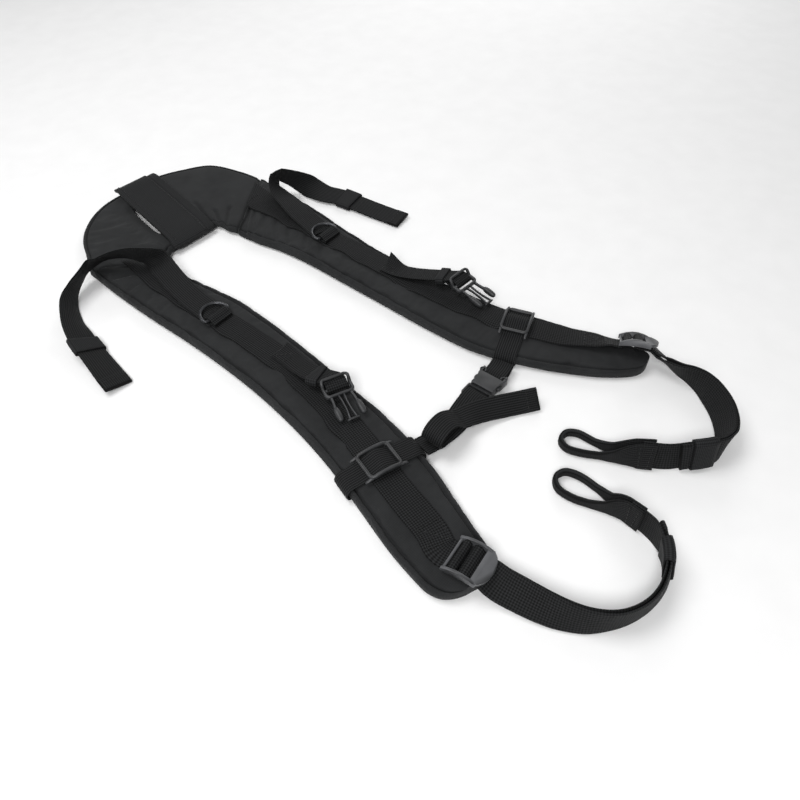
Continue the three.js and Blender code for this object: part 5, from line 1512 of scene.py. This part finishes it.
def clip_bars():
    """A frame whose rear bar arches over the strip, a bar for the strip, two prongs with pads and a guide."""
    plan = rounded_loop(*CLIP_LOOP)
    rear = np.clip((-8.0 - plan[:, 1]) / 5.0, 0, 1)
    rear = rear * rear * (3 - 2 * rear)
    frame_rows = np.column_stack([plan, 5.7 * rear, 1.45 - 0.15 * rear, 2.3 - 1.1 * rear])
    bars = [(bar_along(frame_rows, True), True), cross_bar(11.5, -CLIP_FRAME / 2, 0.0, CLIP_BAR)]
    for s in (-1, 1):
        bars += [mirrored(PRONG, s), mirrored(GUIDE, s), (lump(s * THUMB_PAD[0], *THUMB_PAD[1:]), False)]
    return bars + [(lump(*CLIP_NOSE), False)]


def hook_bars():
    """The curled ends of the chest socket's bar, and the plug's pads in the socket's side windows."""
    bars = []
    for s in (-1, 1):
        curl = [(s * (HOOK_X + HOOK_R * math.cos(a)), HOOK_Y + HOOK_R * math.sin(a), HOOK_Z, 0.7, 0.8)
                for a in np.radians(np.linspace(-60, 200, HOOK_POINTS))]
        bars += [(bar_along(curl), False), (lump(s * SIDE_PAD[0], *SIDE_PAD[1:]), False)]
    return bars


for side in BOTH:
    x, y, heading = SLIDERS[side]
    moulding(side + "_slider_frame", slider_bars(), (x, y, heading - 90), RAIL_TOP,
             stands_for=[side + "_slider"])
    x, y, heading, z, nose = CLIPS[side]
    moulding(side + "_clip_plug", clip_bars(), (x, y, heading), z, nose, stands_for=[side + "_clip"])
moulding("chest_buckle_hooks", hook_bars(), BUCKLE, BUCKLE_Z)
print("sliders, clips and the chest buckle's hooks made")

# %% [markdown]
# ## Stitches
# Sewing could be a texture, but real stitches catch the light. One stitch is a small spindle of four rings.
# Copies of it are laid along a line by adding every stitch's middle, direction and side to the same numbers.

# %% Stitches
STITCH_LONG, STITCH_GAP, STITCH_R = 2.6, 1.2, 0.34
SPINDLE = np.array([(-0.5, 0.35), (-0.3, 1.0), (0.3, 1.0), (0.5, 0.35)])
SIDES = 6
THREAD_UP = 0.15  # seams lie this much above a strap's face
SEAM_SPAN, LOOP_SPAN, CHEST_SPAN = 21, 20, 16  # lengths of seams across webbing, end loops and the chest strap
HEM_SEAM = HEM - 2  # from a strap's end to the seam of its hem
LOCK_SEAM, BOX_LONG, BOX_HALF = 28, 20, 9.5  # the sewn box on a rail before its lock
STRIP_BOX = (2, 15, 7.5)  # the one on a clip's strip: from, to and half of its width
stitch_grids = []


def sew(line, out):
    """Lays stitches along a line of points; out is the way off the cloth, for all points or for each one."""
    line = np.asarray(line, float)
    out = np.broadcast_to(np.asarray(out, float), line.shape)
    dist = run_lengths(line)
    count = max(1, int(dist[-1] // (STITCH_LONG + STITCH_GAP)))
    middle = (np.arange(count) + 0.5) * dist[-1] / count

    def at(d):
        return np.stack([np.interp(d, dist, line[:, k]) for k in range(3)], -1)

    up = unit(np.stack([np.interp(middle, dist, out[:, k]) for k in range(3)], -1))
    way = unit(at(middle + 0.8) - at(middle - 0.8))
    side = np.cross(way, up)
    angle = np.arange(SIDES) / SIDES * 2 * np.pi
    round_way = side[:, None] * np.cos(angle)[:, None] + up[:, None] * np.sin(angle)[:, None] * 0.8
    centre = at(middle)[:, None] + way[:, None] * (SPINDLE[:, 0] * STITCH_LONG)[None, :, None]
    size = (SPINDLE[:, 1] * STITCH_R)[None, :, None, None]
    stitch_grids.append(centre[:, :, None] + round_way[:, None] * size)


def sew_across(run, dist, span, height):
    """A seam square across a strap at a distance along its run."""
    i = int(np.argmin(np.abs(run.dist - dist)))
    share = np.linspace(-span / 2, span / 2, 20)
    sew(run.at[i] + run.edge[i] * share[:, None] + run.face[i] * height, run.face[i] * np.sign(height))


def sew_along(run, start, end, across, height):
    """A seam along a strap between two distances, at a place across it."""
    keep = (run.dist >= start) & (run.dist <= end)
    face = run.face[keep]
    sew(run.at[keep] + run.edge[keep] * across + face * height, face * np.sign(height))


def sew_box(run, start, end, half_wide, height):
    """A box of stitches with a cross in it."""
    sew_across(run, start, 2 * half_wide, height)
    sew_across(run, end, 2 * half_wide, height)
    for sign in (-1, 1):
        sew_along(run, start, end, sign * half_wide, height)
        keep = (run.dist >= start) & (run.dist <= end)
        swing = np.linspace(-sign, sign, keep.sum())[:, None] * half_wide
        sew(run.at[keep] + run.edge[keep] * swing + run.face[keep] * height, run.face[keep] * np.sign(height))


UP = (0.0, 0.0, 1.0)
for side in BOTH:
    for grid, last in ((arms[side], -8), (yokes[side], -24)):
        for point in seam_points(grid):
            sew(grid[1:last, point] + [0, 0, 0.1], UP)
    rail, lifter, loop, strip = (runs[side + "_" + part] for part in ("rail", "lifter", "loop", "strip"))
    rail_face = np.sign(rail.face[20, 2]) * (WEBBING[1] / 2 + THREAD_UP)
    lock_end = rail.dist[-1] - LOCK_SEAM
    sew_box(rail, lock_end - BOX_LONG, lock_end, BOX_HALF, rail_face)
    sew_across(rail, 3, SEAM_SPAN, rail_face)
    for sign in (-1, 1):
        on_hem = sign * (WEBBING[1] * (1 + HEM_FOLD) / 2 + THREAD_UP)
        sew_across(lifter, lifter.dist[-1] - HEM_SEAM, SEAM_SPAN, on_hem)
    for d in (4, 8):
        sew_across(lifter, d, SEAM_SPAN, np.sign(lifter.face[2, 2]) * (WEBBING[1] / 2 + THREAD_UP))
    for d in (4.0, 11.0):
        for sign in (1, -1):
            sew_across(loop, d, LOOP_SPAN, sign * (WEBBING[1] / 2 + 0.2))
    sew_box(strip, *STRIP_BOX, np.sign(strip.face[2, 2]) * (STRIP[1] / 2 + 0.12))
chest = runs["chest_strap"]
for sign in (-1, 1):
    on_hem = sign * (NARROW[1] * (1 + HEM_FOLD) / 2 + THREAD_UP)
    sew_across(chest, chest.dist[-1] - HEM_SEAM, CHEST_SPAN, on_hem)
top = off[:, 2] < -0.5
for edge_line, inset, high in ((left_edge, BAND_HEM - 1, 1.8), (right_edge, -BAND_STRIP - 2.4, 1.3)):
    sew(edge_line[top] + edge[top] * inset - off[top] * (BAND_WALL / 2 + high), -off[top])

spindles = np.concatenate(stitch_grids)
count, rings = spindles.shape[:2]
base = np.arange(count)[:, None, None] * rings * SIDES
i, j = np.arange(rings - 1)[None, :, None], np.arange(SIDES)[None, None, :]
k = (j + 1) % SIDES
quads = np.stack(np.broadcast_arrays(base + i * SIDES + j, base + i * SIDES + k, base + (i + 1) * SIDES + k,
                                     base + (i + 1) * SIDES + j), -1).reshape(-1, 4)
cap = base[:, :, 0] + np.arange(SIDES)[None, ::-1]
far = base[:, :, 0] + (rings - 1) * SIDES + np.arange(SIDES)[None, :]
mesh = bpy.data.meshes.new("stitches")
mesh.from_pydata(metres(spindles.reshape(-1, 3)).tolist(), [], quads.tolist() + cap.tolist() + far.tolist())
mesh.polygons.foreach_set("use_smooth", np.ones(len(mesh.polygons), bool))
stitches = add_object("stitches", mesh)
work = bmesh.new()
work.from_mesh(mesh)
bmesh.ops.recalc_face_normals(work, faces=work.faces)
work.to_mesh(mesh)
work.free()
dress(stitches, "thread")
print(count, "stitches")
